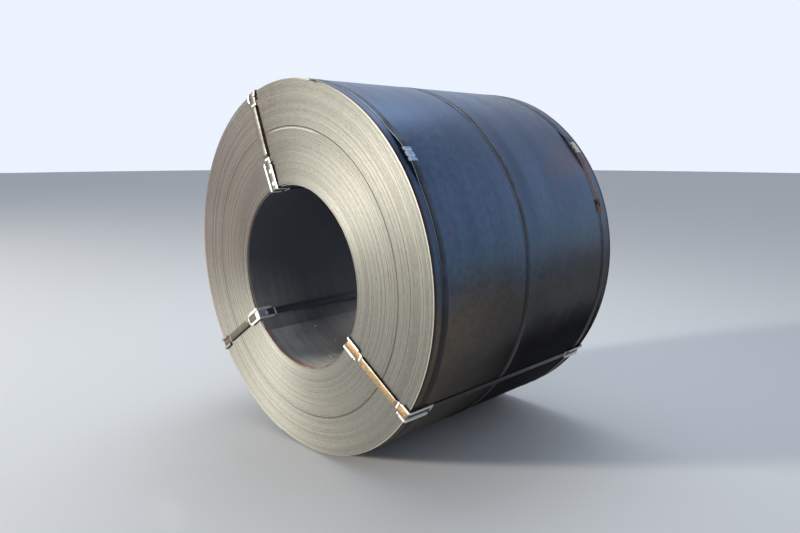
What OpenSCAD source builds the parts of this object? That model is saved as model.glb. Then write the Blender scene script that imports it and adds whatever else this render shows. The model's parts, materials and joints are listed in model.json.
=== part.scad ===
// Hot-rolled steel coil lying on its side, banded for transport.
// One wound coil, three girth straps around it, three eye straps through its eye,
// the crimped seals that close them, and bent edge guards under each eye strap.
//
// The coil's axis runs along Y at axis_height above the floor, +Z is up, and the
// origin is on the floor under the middle of the coil. The front end faces -Y.
// Angles around the axis are measured from +X towards +Z, seen from the front.

/* [Coil] */
// Outer diameter of the wound strip
coil_d = 1550; // [1300:10:1900]
// Width of the strip, which is the length of the coil
coil_width = 1200; // [900:10:1600]
// Diameter of the eye
bore_d = 762; // [600:2:850]
// Radial height of each group of turns that stands level on the ends
turn_group = 19.7; // [12:0.1:30]
// Deepest that a group of turns sits back from the ends
group_relief = 1.2; // [0.2:0.1:2]
// Radius of the one loose turn that leaves an open ring on both ends
loose_turn_r = 600; // [560:5:620]
// Radial width of the open ring
loose_turn_gap = 3; // [1:0.5:6]
// Depth of the open ring
loose_turn_depth = 12; // [4:1:30]

/* [Straps] */
// Width of the steel strapping
strap_w = 32; // [16:1:40]
// Thickness of the steel strapping
strap_t = 0.9; // [0.6:0.1:1.5]
// Length over which a strap's two ends lie on each other
lap_length = 110; // [80:5:160]
// Gap between pieces that lie on each other
seat_gap = 0.3; // [0.1:0.05:0.5]

/* [Girth straps] */
// Distance of the front girth strap's middle from the front end
front_girth_y = 58; // [40:1:80]
// Distance of the middle girth strap's middle from the front end
middle_girth_y = 552; // [400:1:700]
// Distance of the rear girth strap's middle from the rear end
rear_girth_y = 62; // [40:1:80]
// Angle of the front girth strap's seal
front_seal_angle = 40; // [20:1:80]
// Angle of the middle girth strap's seal-less lap
middle_lap_angle = 61; // [40:1:80]
// Angle of the rear girth strap's newer seal
rear_seal_angle = 42; // [35:1:80]
// Angle of the rear girth strap's older, rusty seal
rear_old_seal_angle = 21; // [10:1:27]

/* [Eye straps] */
// Angle of the upper eye strap
upper_angle = 109; // [95:1:120]
// Angle of the left eye strap
left_angle = 213; // [205:1:220]
// Angle of the right eye strap
right_angle = 327; // [320:1:335]

/* [Seals] */
// Length of a crimped seal along its strap
seal_length = 57; // [40:1:70]
// Thickness of a seal's sheet
seal_t = 1.1; // [0.8:0.1:1.6]
// Radius of the crimp notches in a seal's edges
notch_r = 2.2; // [1.5:0.1:2.5]
// Distance of the crimp notches from the seal's middle
notch_offset = 14; // [10:1:18]

/* [Edge guards] */
// Width of an edge guard across its strap
guard_w = 56; // [48:1:64]
// Thickness of a guard's sheet
guard_t = 1.6; // [1:0.1:2.5]
// Length of a guard before it is bent
guard_length = 190; // [160:5:220]
// Height of the rims above the guard's sheet
rim_h = 9; // [5:0.5:12]
// Thickness of the rims
rim_t = 1.8; // [1:0.1:2.5]
// Inner radius of the guard's bend
bend_r = 1; // [1:0.1:1.5]
// Width of the tabs at a guard's ends
tab_w = 42; // [38:1:48]
// Length of the tabs at a guard's ends
tab_length = 18; // [12:1:24]
// Length, along the strap, of the hoop that holds the strap on each tab
hoop_length = 5; // [3:1:8]
// Thickness of the hoop over the strap
hoop_t = 1.6; // [1:0.1:2.5]
// Length on the end face of the upper strap's outer guards
upper_outer_leg = 50; // [45:1:90]
// Length on the end face of the upper strap's inner guards
upper_inner_leg = 129; // [60:1:135]
// Length on the end face of the left strap's outer guards
left_outer_leg = 80; // [45:1:90]
// Length on the end face of the left strap's inner guards
left_inner_leg = 98; // [60:1:135]
// Length on the end face of the right strap's outer guards
right_outer_leg = 60; // [45:1:90]
// Length on the end face of the right strap's inner guards
right_inner_leg = 92; // [60:1:135]

/* [Hidden] */

coil_r = coil_d / 2;
bore_r = bore_d / 2;
half = coil_width / 2;
groups = floor((coil_r - bore_r) / turn_group);
group_step = (coil_r - bore_r) / groups;

// Girth straps lie on the coil, and the whole coil rests on them.
girth_r = coil_r + seat_gap;
girth_top_r = girth_r + strap_t;
lap_top_r = girth_top_r + strap_t;
axis_height = girth_top_r;
lap_turn = lap_length / girth_r * 180 / PI;

// Guards lie flat on the ends, over the girth straps outside, and on the eye's curved wall inside.
face_seat = seat_gap;
wall_seat = girth_top_r - coil_r + seat_gap;
eye_seat = bore_r - sqrt(bore_r * bore_r - guard_w * guard_w / 4) + seat_gap;

// Heights above the guards' seats at which each eye strap runs around the section of the coil.
strap_low = guard_t + seat_gap;
strap_top = strap_low + strap_t;
hoop_low = strap_top + seat_gap;
hoop_top = hoop_low + hoop_t;
// The hoops leave three seat gaps on either side of the strap.
passage_w = strap_w + 6 * seat_gap;

seal_w = strap_w + 2 * (seat_gap + seal_t);
seal_turn = seal_length / girth_r * 180 / PI;
notch_turn = notch_offset / girth_r * 180 / PI;
eye_lap_r = (coil_r + bore_r) / 2;
// The lap lies on the outside of the strap, on the rear end.
lap_y = -(half + face_seat + strap_top);

front_y = half - front_girth_y;
middle_y = half - middle_girth_y;
rear_y = rear_girth_y - half;

// Past every side of a section, for cuts and windows.
reach = 2 * (coil_r + coil_width);
// Length of the round cuts that make a seal's crimp notches.
notch_reach = 20;
round_fn = 480;
bend_fn = 48;

// Puts a shape built around Z, with its front end up, onto the coil's lying axis.
module on_axis() {
    translate([0, 0, axis_height])
        rotate([90, 0, 0])
            children();
}

// A slab of the given width that stands on a radial plane of the coil.
// Its outline is drawn with x as the radius and y as the distance towards the front.
module radial_slab(angle, width, shift = 0) {
    on_axis()
        rotate([0, 0, angle])
            rotate([90, 0, 0])
                translate([0, 0, shift - width / 2])
                    linear_extrude(width)
                        children();
}

// ---- Coil ----

// How far group i sits back from the ends. Every third group stands flush.
function relief(i) = i % 3 == 0 ? 0 : group_relief * abs(sin(137.5 * i));
function group_r(i) = bore_r + i * group_step;
function group_top(i, side) = [
    [group_r(i), side * (half - relief(i))],
    [group_r(i + 1), side * (half - relief(i))]
];
function swapped(pair) = [pair[1], pair[0]];

module coil_section() {
    front_end = [for (i = [0 : groups - 1]) each group_top(i, 1)];
    rear_end = [for (i = [groups - 1 : -1 : 0]) each swapped(group_top(i, -1))];
    difference() {
        polygon(concat(front_end, rear_end));
        for (side = [0, 1])
            mirror([0, side])
                translate([loose_turn_r, half - loose_turn_depth])
                    square([loose_turn_gap, loose_turn_depth + 1]);
    }
}

module coil() {
    color("dimgray")
        on_axis()
            rotate_extrude($fn = round_fn)
                coil_section();
}

// ---- Girth straps and their seals ----

// A rectangle that sweeps around the axis, from radius low to high, centred on y and on an angle.
module swept_bar(low, high, y, width, angle, turn) {
    rotate([0, 0, angle - turn / 2])
        rotate_extrude(angle = turn, $fn = round_fn)
            translate([low, y - width / 2])
                square([high - low, width]);
}

module girth_strap(y, lap_angle) {
    color("darkslategray")
        on_axis() {
            rotate_extrude($fn = round_fn)
                translate([girth_r, y - strap_w / 2])
                    square([strap_t, strap_w]);
            swept_bar(girth_r + strap_t / 2, lap_top_r, y, strap_w, lap_angle, lap_turn);
        }
}

// A cap folded over the lapped strap, with crimp notches in both edges.
module girth_seal(y, angle, finish) {
    color(finish)
        on_axis()
            difference() {
                swept_bar(girth_r, lap_top_r + seat_gap + seal_t, y, seal_w, angle, seal_turn);
                swept_bar(coil_r, lap_top_r + seat_gap, y, strap_w + 2 * seat_gap, angle, 2 * seal_turn);
                for (along = [-1, 1], side = [-1, 1])
                    rotate([0, 0, angle + along * notch_turn])
                        translate([coil_r, 0, y + side * seal_w / 2])
                            rotate([0, 90, 0])
                                cylinder(h = notch_reach, r = notch_r, $fn = bend_fn);
            }
}

module girth_strap_front() { girth_strap(front_y, front_seal_angle); }
module girth_strap_middle() { girth_strap(middle_y, middle_lap_angle); }
module girth_strap_rear() { girth_strap(rear_y, rear_seal_angle); }
module girth_seal_front() { girth_seal(front_y, front_seal_angle, "silver"); }
module girth_seal_rear() { girth_seal(rear_y, rear_seal_angle, "silver"); }
module girth_seal_rear_old() { girth_seal(rear_y, rear_old_seal_angle, "sienna"); }

// ---- Eye straps and their seals ----

// The rounded rectangle that runs around the coil's section at a height above the guards' seats.
module loop_at(height) {
    low_r = bore_r - eye_seat - height;
    high_r = coil_r + wall_seat + height;
    top = half + face_seat + height;
    round = bend_r + height;
    translate([low_r + round, -top])
        square([high_r - low_r - 2 * round, 2 * top]);
    translate([low_r, round - top])
        square([high_r - low_r, 2 * (top - round)]);
    for (r = [low_r + round, high_r - round], y = [round - top, top - round])
        translate([r, y])
            circle(round, $fn = bend_fn);
}

// The band between two heights of that loop.
module loop_band(low, high) {
    difference() {
        loop_at(high);
        loop_at(low);
    }
}

module eye_strap(angle) {
    color("tan") {
        radial_slab(angle, strap_w)
            loop_band(strap_low, strap_top);
        radial_slab(angle, strap_w)
            translate([eye_lap_r - lap_length / 2, lap_y - strap_t])
                square([lap_length, strap_t]);
    }
}

// A closed sleeve around both layers of the strap, with crimp notches in both edges.
module eye_seal(angle) {
    inner_h = 2 * (strap_t + seat_gap);
    color("silver")
        difference() {
            radial_slab(angle, seal_w)
                translate([eye_lap_r, lap_y])
                    square([seal_length, inner_h + 2 * seal_t], center = true);
            radial_slab(angle, strap_w + 2 * seat_gap)
                translate([eye_lap_r, lap_y])
                    square([2 * seal_length, inner_h], center = true);
            on_axis()
                rotate([0, 0, angle])
                    for (along = [-1, 1], side = [-1, 1])
                        translate([eye_lap_r + along * notch_offset, side * seal_w / 2, lap_y])
                            cylinder(h = notch_reach, r = notch_r, center = true, $fn = bend_fn);
        }
}

module eye_strap_upper() { eye_strap(upper_angle); }
module eye_strap_left() { eye_strap(left_angle); }
module eye_strap_right() { eye_strap(right_angle); }
module eye_seal_upper() { eye_seal(upper_angle); }
module eye_seal_left() { eye_seal(left_angle); }
module eye_seal_right() { eye_seal(right_angle); }

// ---- Edge guards ----

// The corner of the section that a guard covers, less a length off both of its ends.
// outer tells the coil's outer edge from the eye's edge, and side is 1 in front and -1 behind.
module corner_window(outer, side, face_leg, shorter = 0) {
    wall_leg = guard_length - face_leg;
    edge_y = half - wall_leg + shorter;
    low_r = outer ? coil_r - face_leg + shorter : bore_r + face_leg - shorter - reach;
    mirror([0, side < 0 ? 1 : 0])
        translate([low_r, edge_y])
            square(reach);
}

// A band of the loop, cut to a guard's corner.
module guard_band(low, high, outer, side, face_leg, shorter = 0) {
    intersection() {
        loop_band(low, high);
        corner_window(outer, side, face_leg, shorter);
    }
}

module guard(angle, outer, side, face_leg) {
    color("gainsboro") {
        radial_slab(angle, tab_w)
            guard_band(0, guard_t, outer, side, face_leg);
        radial_slab(angle, guard_w)
            guard_band(0, guard_t, outer, side, face_leg, tab_length);
        for (edge = [-1, 1])
            radial_slab(angle, rim_t, edge * (guard_w - rim_t) / 2)
                guard_band(0, guard_t + rim_h, outer, side, face_leg, tab_length);
        difference() {
            radial_slab(angle, tab_w)
                difference() {
                    guard_band(0, hoop_top, outer, side, face_leg);
                    corner_window(outer, side, face_leg, hoop_length);
                }
            radial_slab(angle, passage_w)
                loop_band(guard_t, hoop_low);
        }
    }
}

module guard_upper_front_outer() { guard(upper_angle, true, 1, upper_outer_leg); }
module guard_upper_front_inner() { guard(upper_angle, false, 1, upper_inner_leg); }
module guard_upper_rear_outer() { guard(upper_angle, true, -1, upper_outer_leg); }
module guard_upper_rear_inner() { guard(upper_angle, false, -1, upper_inner_leg); }
module guard_left_front_outer() { guard(left_angle, true, 1, left_outer_leg); }
module guard_left_front_inner() { guard(left_angle, false, 1, left_inner_leg); }
module guard_left_rear_outer() { guard(left_angle, true, -1, left_outer_leg); }
module guard_left_rear_inner() { guard(left_angle, false, -1, left_inner_leg); }
module guard_right_front_outer() { guard(right_angle, true, 1, right_outer_leg); }
module guard_right_front_inner() { guard(right_angle, false, 1, right_inner_leg); }
module guard_right_rear_outer() { guard(right_angle, true, -1, right_outer_leg); }
module guard_right_rear_inner() { guard(right_angle, false, -1, right_inner_leg); }

coil();
girth_strap_front();
girth_strap_middle();
girth_strap_rear();
girth_seal_front();
girth_seal_rear();
girth_seal_rear_old();
eye_strap_upper();
eye_strap_left();
eye_strap_right();
eye_seal_upper();
eye_seal_left();
eye_seal_right();
guard_upper_front_outer();
guard_upper_front_inner();
guard_upper_rear_outer();
guard_upper_rear_inner();
guard_left_front_outer();
guard_left_front_inner();
guard_left_rear_outer();
guard_left_rear_inner();
guard_right_front_outer();
guard_right_front_inner();
guard_right_rear_outer();
guard_right_rear_inner();
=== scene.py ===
"""Looks of one banded, hot-rolled steel coil that lies on its side.

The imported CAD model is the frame: every place and size below comes from its
nodes. The wound strip, its straps, their seals and the edge guards are rebuilt
here in full detail, each piece where its CAD node lies. Lengths are metres.

Angles around the coil's axis are measured from +X towards +Z. "Out" along a
radial plane is away from the axis, and "depth" is the distance towards the
front end, which faces -Y.
"""

from __future__ import annotations

import json
import logging
import math
import random
from contextlib import contextmanager
from dataclasses import dataclass, field, replace
from enum import Enum
from functools import cache, cached_property
from typing import Any, Callable, Iterable, Iterator, Mapping, Sequence

import bmesh
import bpy
import numpy as np
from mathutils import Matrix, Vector

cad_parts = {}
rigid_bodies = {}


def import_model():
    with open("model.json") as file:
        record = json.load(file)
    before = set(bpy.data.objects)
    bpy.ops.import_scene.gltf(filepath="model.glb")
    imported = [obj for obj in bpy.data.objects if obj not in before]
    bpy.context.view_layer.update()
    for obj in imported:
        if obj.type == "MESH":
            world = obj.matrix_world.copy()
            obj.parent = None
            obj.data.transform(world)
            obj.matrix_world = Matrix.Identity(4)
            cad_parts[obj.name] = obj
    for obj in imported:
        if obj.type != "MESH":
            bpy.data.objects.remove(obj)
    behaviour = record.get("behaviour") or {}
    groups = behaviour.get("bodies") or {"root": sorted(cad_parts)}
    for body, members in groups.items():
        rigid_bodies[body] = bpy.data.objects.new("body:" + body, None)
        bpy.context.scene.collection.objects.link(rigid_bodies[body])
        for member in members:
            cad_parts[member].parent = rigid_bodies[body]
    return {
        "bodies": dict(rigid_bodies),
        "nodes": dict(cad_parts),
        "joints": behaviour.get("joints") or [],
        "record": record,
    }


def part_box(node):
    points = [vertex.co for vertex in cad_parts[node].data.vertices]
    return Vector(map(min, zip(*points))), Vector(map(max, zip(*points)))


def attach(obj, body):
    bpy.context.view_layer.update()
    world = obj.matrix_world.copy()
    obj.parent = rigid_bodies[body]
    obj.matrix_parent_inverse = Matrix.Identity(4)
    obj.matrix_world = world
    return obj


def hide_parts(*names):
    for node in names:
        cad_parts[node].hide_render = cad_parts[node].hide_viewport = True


MM = 0.001
ROOT = "root"
MERGE_DISTANCE = 1e-6
LAYER = 1.02  # A second layer of strap lies this many thicknesses above the first.
Colour = tuple[float, float, float]
Socket = bpy.types.NodeSocket
Mesh = bpy.types.Mesh
Bend = Callable[[float, float, float], Vector]  # Distance along, distance across and height to a point.

log = logging.getLogger("steel_coil")


class Side(Enum):
    """An end of the coil, with the sign of its depth."""

    FRONT = 1
    REAR = -1


class Edge(Enum):
    """An edge of the coil's section, with the sign of the way out of the strip."""

    OUTER = 1
    INNER = -1


class Band(Enum):
    """The three eye straps, by the place of each around the eye."""

    UPPER = "upper"
    LEFT = "left"
    RIGHT = "right"

    @property
    def strap(self) -> str:
        """The strap's CAD node."""
        return f"eye_strap_{self.value}"

    @property
    def seal(self) -> str:
        """The CAD node of the strap's seal."""
        return f"eye_seal_{self.value}"

    def guard(self, side: Side, edge: Edge) -> str:
        """Names the CAD node of the guard under the strap at one end and edge."""
        return f"guard_{self.value}_{side.name.lower()}_{edge.name.lower()}"


def eased(share: float) -> float:
    """Holds a share between 0 and 1, and eases it in at 0 and out at 1."""
    share = min(1.0, max(0.0, share))
    return 3 * share**2 - 2 * share**3


# ---- Node wiring ----


class Wiring:
    """Adds and links nodes in one node tree."""

    def __init__(self, tree: bpy.types.NodeTree) -> None:
        """Starts wiring a tree.

        Args:
            tree: The shader or geometry tree to add nodes to.
        """
        self.tree = tree

    def plug(self, socket: Socket, value: Any) -> None:
        """Links a socket to a node or an output, or sets its own value.

        Args:
            socket: The input socket.
            value: A node, an output socket, or a plain value.
        """
        if isinstance(value, bpy.types.Node):
            value = value.outputs[0]
        if isinstance(value, Socket):
            self.tree.links.new(value, socket)
        else:
            socket.default_value = value

    def add(
        self, kind: str, inputs: Mapping[str | int, Any] | None = None, **settings: Any
    ) -> bpy.types.Node:
        """Adds one node.

        Args:
            kind: The node's type name.
            inputs: Values or sources for its inputs, by name or number.
            **settings: The node's own properties.

        Returns:
            The new node.
        """
        node = self.tree.nodes.new(kind)
        for name, value in settings.items():
            setattr(node, name, value)
        for key, value in (inputs or {}).items():
            self.plug(node.inputs[key], value)
        return node

    def math(self, operation: str, *values: Any) -> Socket:
        """Adds a Math node and returns its result."""
        return self.add("ShaderNodeMath", dict(enumerate(values)), operation=operation).outputs[0]

    def vector(self, operation: str, *values: Any) -> Socket:
        """Adds a Vector Math node and returns its vector."""
        return self.add("ShaderNodeVectorMath", dict(enumerate(values)), operation=operation).outputs[0]

    def span(
        self, value: Any, low: float, high: float, start: float = 0.0, end: float = 1.0
    ) -> Socket:
        """Maps a value smoothly from one range to another, held at both ends.

        Args:
            value: The value to map.
            low: The value that gives start.
            high: The value that gives end.
            start: The result at low.
            end: The result at high.

        Returns:
            The mapped value.
        """
        sources = {0: value, 1: low, 2: high, 3: start, 4: end}
        return self.add("ShaderNodeMapRange", sources, interpolation_type="SMOOTHSTEP").outputs[0]

    def mix(self, share: Any, first: Any, second: Any, blend: str = "MIX") -> Socket:
        """Mixes two colours.

        Args:
            share: How much of the second colour.
            first: The colour at share 0.
            second: The colour at share 1.
            blend: The way they blend.

        Returns:
            The mixed colour.
        """
        first, second = (c if not isinstance(c, tuple) else (*c, 1.0) for c in (first, second))
        sources = {0: share, 6: first, 7: second}
        return self.add("ShaderNodeMix", sources, data_type="RGBA", blend_type=blend).outputs[2]

    def noise(self, place: Any, scale: float, detail: float = 2.0, roughness: float = 0.5) -> Socket:
        """Samples smooth noise over a vector.

        Args:
            place: The vector to sample at.
            scale: Waves per unit.
            detail: Octaves on top of the first.
            roughness: Strength of each octave against the one before.

        Returns:
            The noise, from 0 to 1 and about a half.
        """
        sources = {"Vector": place, "Scale": scale, "Detail": detail, "Roughness": roughness}
        return self.add("ShaderNodeTexNoise", sources).outputs[0]

    def noise_along(self, value: Any, scale: float, detail: float = 2.0) -> Socket:
        """Samples smooth noise over a single value, as noise does over a vector."""
        sources = {"W": value, "Scale": scale, "Detail": detail}
        return self.add("ShaderNodeTexNoise", sources, noise_dimensions="1D").outputs[0]

    def join(self, x: Any, y: Any, z: Any) -> Socket:
        """Makes a vector of three values."""
        return self.add("ShaderNodeCombineXYZ", {0: x, 1: y, 2: z}).outputs[0]

    def sum(self, *values: Any) -> Socket:
        """Adds up two or more values.

        Args:
            *values: The values, of which one at least comes from a node.

        Returns:
            Their sum.
        """
        total = values[0]
        for value in values[1:]:
            total = self.math("ADD", total, value)
        return total

    def times(self, *values: Any) -> Socket:
        """Multiplies two or more values.

        Args:
            *values: The values, of which one at least comes from a node.

        Returns:
            Their product.
        """
        product = values[0]
        for value in values[1:]:
            product = self.math("MULTIPLY", product, value)
        return product


class ShapeTree:
    """A Geometry Nodes tree with named inputs for its sizes."""

    def __init__(self, name: str) -> None:
        """Starts an empty tree.

        Args:
            name: The tree's name.
        """
        self.tree = bpy.data.node_groups.new(name, "GeometryNodeTree")
        self.wiring = Wiring(self.tree)
        for way in ("OUTPUT", "INPUT"):
            self.tree.interface.new_socket(name="Geometry", in_out=way, socket_type="NodeSocketGeometry")
        self.identifiers: dict[str, str] = {}
        self.entry = self.tree.nodes.new("NodeGroupInput")

    def size(self, name: str, kind: str = "NodeSocketFloat") -> Socket:
        """Gives a named input, added when it is first asked for.

        Args:
            name: The input's name.
            kind: The type of its socket.

        Returns:
            The socket that carries it inside the tree.
        """
        if name not in self.identifiers:
            made = self.tree.interface.new_socket(name=name, in_out="INPUT", socket_type=kind)
            self.identifiers[name] = made.identifier
        return next(s for s in self.entry.outputs if s.identifier == self.identifiers[name])

    def end(self, geometry: Any) -> None:
        """Links the finished geometry to the tree's output."""
        self.wiring.add("NodeGroupOutput", {0: geometry})

    def run(self, source: Mesh, values: Mapping[str, Any]) -> Mesh:
        """Runs the tree once on a mesh.

        Args:
            source: The mesh that enters the tree.
            values: A value for each named input.

        Returns:
            The result as a plain mesh.
        """
        carrier = in_scene(self.tree.name + "_carrier", source)
        modifier = carrier.modifiers.new("Shape", "NODES")
        modifier.node_group = self.tree
        for name, value in values.items():
            modifier[self.identifiers[name]] = value
        made = evaluated_mesh(carrier)
        bpy.data.objects.remove(carrier)
        return made


def in_scene(name: str, data: bpy.types.ID) -> bpy.types.Object:
    """Puts a mesh, light or camera into the scene as an object.

    Args:
        name: The object's name.
        data: What it holds.

    Returns:
        The object.
    """
    obj = bpy.data.objects.new(name, data)
    bpy.context.scene.collection.objects.link(obj)
    return obj


def evaluated_mesh(obj: bpy.types.Object) -> Mesh:
    """Returns an object's mesh with its modifiers applied."""
    depsgraph = bpy.context.evaluated_depsgraph_get()
    return bpy.data.meshes.new_from_object(obj.evaluated_get(depsgraph), depsgraph=depsgraph)


# ---- Frame ----


@dataclass(frozen=True)
class Extents:
    """How far a CAD node reaches in the coil's own directions."""

    near: float
    far: float
    back: float
    front: float
    turn_start: float
    turn_end: float

    @property
    def angle(self) -> float:
        """The angle of its middle around the axis."""
        return (self.turn_start + self.turn_end) / 2

    @property
    def depth(self) -> float:
        """The depth of its middle."""
        return (self.back + self.front) / 2


@dataclass(frozen=True)
class CoilFrame:
    """The coil's place and overall sizes, read off the CAD frame."""

    nodes: Mapping[str, bpy.types.Object]
    axis_z: float
    outer_r: float
    bore_r: float
    half: float

    @classmethod
    def read(cls, frame: Mapping[str, Any]) -> CoilFrame:
        """Measures the CAD model.


        Returns:
            The coil's frame.
        """
        low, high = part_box("coil")
        eye = next(m for m in frame["record"]["mounts"] if m["name"] == "eye")
        return cls(
            nodes=frame["nodes"],
            axis_z=(low.z + high.z) / 2,
            outer_r=(high.x - low.x) / 2,
            bore_r=eye["dims"]["r_mm"] * MM,
            half=(high.y - low.y) / 2,
        )

    def place(self, angle: float, out: float, depth: float, across: float = 0.0) -> Vector:
        """Gives a point beside a radial plane.

        Args:
            angle: The plane's angle around the axis.
            out: Distance from the axis within the plane.
            depth: Distance from the coil's middle towards the front.
            across: Distance off the plane, towards growing angles.

        Returns:
            The point.
        """
        c, s = math.cos(angle), math.sin(angle)
        return Vector((out * c - across * s, -depth, self.axis_z + out * s + across * c))

    def extents(self, node: str, beyond: float = 0.0) -> Extents:
        """Measures a CAD node that spans less than half a turn, in the coil's directions.

        Args:
            node: The node's name.
            beyond: Points nearer to the axis than this are left out.

        Returns:
            Its reach.
        """
        points = np.array([v.co for v in self.nodes[node].data.vertices])
        out = np.hypot(points[:, 0], points[:, 2] - self.axis_z)
        points, out = points[out > beyond], out[out > beyond]
        middle = points.mean(0)
        base = math.atan2(middle[2] - self.axis_z, middle[0])
        turn = np.arctan2(points[:, 2] - self.axis_z, points[:, 0]) - base
        turn = (turn + math.pi) % (2 * math.pi) - math.pi
        depth = -points[:, 1]
        return Extents(out.min(), out.max(), depth.min(), depth.max(), base + turn.min(), base + turn.max())

    def plane_reach(self, node: str, angle: float) -> Extents:
        """Measures a CAD node against a radial plane.

        Args:
            node: The node's name.
            angle: The plane's angle.

        Returns:
            Its reach, with near and far measured within the plane.
        """
        points = np.array([v.co for v in self.nodes[node].data.vertices])
        out = points[:, 0] * math.cos(angle) + (points[:, 2] - self.axis_z) * math.sin(angle)
        depth = -points[:, 1]
        return Extents(out.min(), out.max(), depth.min(), depth.max(), angle, angle)


# ---- Mesh helpers ----


def show(name: str, mesh: Mesh) -> bpy.types.Object:
    """Puts a finished mesh into the scene under its own name.

    Args:
        name: The name of the object and its mesh.
        mesh: The mesh, in place.

    Returns:
        The object.
    """
    mesh.name = name
    return in_scene(name, mesh)


def smooth(mesh: Mesh, crease_deg: float) -> None:
    """Shades a mesh smooth, and keeps the edges sharper than an angle crisp."""
    mesh.shade_smooth()
    mesh.set_sharp_from_angle(angle=math.radians(crease_deg))


def joined(meshes: Iterable[Mesh]) -> Mesh:
    """Joins meshes into one and keeps each face's material.

    Args:
        meshes: The meshes, in place.

    Returns:
        One mesh.
    """
    parts = [in_scene("part", mesh) for mesh in meshes]
    with bpy.context.temp_override(active_object=parts[0], selected_editable_objects=parts):
        bpy.ops.object.join()
    whole = parts[0].data
    bpy.data.objects.remove(parts[0])
    return whole


def from_grid(rows: Sequence[Sequence[Vector]], ring: bool = False, closed: bool = False) -> Mesh:
    """Makes a sheet of quads over rows of points.

    Args:
        rows: Rows of points, all of one length.
        ring: Whether each row's last point joins its first.
        closed: Whether the last row joins the first.

    Returns:
        The sheet.
    """
    width = len(rows[0])
    points = [p for row in rows for p in row]
    row_pairs = range(len(rows) if closed else len(rows) - 1)
    columns = range(width if ring else width - 1)
    faces = []
    for i in row_pairs:
        a, b = i * width, (i + 1) % len(rows) * width
        faces += [(a + j, a + (j + 1) % width, b + (j + 1) % width, b + j) for j in columns]
    mesh = bpy.data.meshes.new("sheet")
    mesh.from_pydata(points, [], faces)
    return mesh


@contextmanager
def editing(mesh: Mesh) -> Iterator[bmesh.types.BMesh]:
    """Opens a mesh for changes and writes them back.

    Args:
        mesh: The mesh to change.

    Yields:
        Its editable form.
    """
    work = bmesh.new()
    work.from_mesh(mesh)
    yield work
    work.to_mesh(mesh)
    work.free()


def face_outwards(mesh: Mesh) -> None:
    """Merges doubled points and turns every face of a closed mesh outwards."""
    with editing(mesh) as work:
        bmesh.ops.remove_doubles(work, verts=work.verts, dist=MERGE_DISTANCE)
        bmesh.ops.recalc_face_normals(work, faces=work.faces)


def hand_over(obj: bpy.types.Object, slot: str, *nodes: str) -> None:
    """Gives a finished piece to the frame and reports it.

    Args:
        obj: The piece.
        slot: The record's material slot, which is not used.
        *nodes: The CAD nodes that it stands for.
    """
    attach(obj, ROOT)
    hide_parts(*nodes)
    log.info("%s: %d faces, for %s", obj.name, len(obj.data.polygons), ", ".join(nodes))


# ---- Finishes ----


class Surface:
    """A material under construction, with the coil's own coordinates."""

    def __init__(self, name: str, axis_z: float) -> None:
        """Starts a material.

        Args:
            name: The material's name.
            axis_z: Height of the coil's axis.
        """
        self.material = bpy.data.materials.new(name)
        self.material.use_nodes = True
        tree = self.material.node_tree
        self.shader = tree.nodes["Principled BSDF"]
        self.wiring = Wiring(tree)
        w = self.wiring
        self.place = w.add("ShaderNodeTexCoord").outputs["Object"]
        self.centred = w.vector("SUBTRACT", self.place, (0.0, 0.0, axis_z))
        split = w.add("ShaderNodeSeparateXYZ", {0: self.centred})
        self.x, self.y, self.z = split.outputs
        self.angle = w.math("ARCTAN2", self.z, self.x)
        flat = w.join(self.x, 0.0, self.z)
        self.out = w.add("ShaderNodeVectorMath", {0: flat}, operation="LENGTH").outputs["Value"]

    def from_middle(self) -> Socket:
        """Gives the distance from the coil's middle along the axis, the same towards both ends."""
        return self.wiring.math("ABSOLUTE", self.y)

    def attribute(self, name: str) -> Socket:
        """Reads one of the mesh's own numbers."""
        node = self.wiring.add("ShaderNodeAttribute", attribute_name=name, attribute_type="GEOMETRY")
        return node.outputs["Fac"]

    def toward(self, angle_deg: float) -> Socket:
        """Tells how far the surface lies towards one side of the axis.

        Args:
            angle_deg: The side's angle around the axis.

        Returns:
            1 on that side, 0 a quarter turn away from it and -1 opposite.
        """
        w, angle = self.wiring, math.radians(angle_deg)
        along = w.sum(w.times(self.x, math.cos(angle)), w.times(self.z, math.sin(angle)))
        return w.math("DIVIDE", along, self.out)

    def rolled(self, around: float, along: float, out: float = 0.0) -> Socket:
        """Gives coordinates that follow the coil's round surface.

        Args:
            around: Scale around the axis.
            along: Scale along the axis.
            out: Scale away from the axis.

        Returns:
            A vector without a seam, because it turns with the angle.
        """
        w = self.wiring
        unit = w.vector("NORMALIZE", w.join(self.x, 0.0, self.z))
        turned = w.vector("SCALE", unit)
        turned.node.inputs["Scale"].default_value = around
        straight = w.join(0.0, w.times(self.y, along), w.times(self.out, out))
        return w.vector("ADD", turned, straight)

    def shaded_by(self, tone: Any, shade: Any) -> Socket:
        """Darkens or brightens a colour by one value."""
        w = self.wiring
        return w.mix(1.0, tone, w.join(shade, shade, shade), "MULTIPLY")

    def set(self, **values: Any) -> None:
        """Sets the shader's own sockets, where underscores stand for spaces.

        Args:
            **values: A plain value or a source for each socket.
        """
        for name, value in values.items():
            self.wiring.plug(self.shader.inputs[name.replace("_", " ")], value)

    def bump(
        self, height: Any, distance: float, strength: float = 1.0, normal: Any = None
    ) -> Socket:
        """Adds a Bump node.

        Args:
            height: The height, from 0 to 1.
            distance: What a height of 1 measures.
            strength: Share of the effect.
            normal: The normal of a bump below this one.

        Returns:
            The bumped normal.
        """
        inputs = {"Height": height, "Distance": distance, "Strength": strength}
        if normal is not None:
            inputs["Normal"] = normal
        return self.wiring.add("ShaderNodeBump", inputs).outputs[0]


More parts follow.
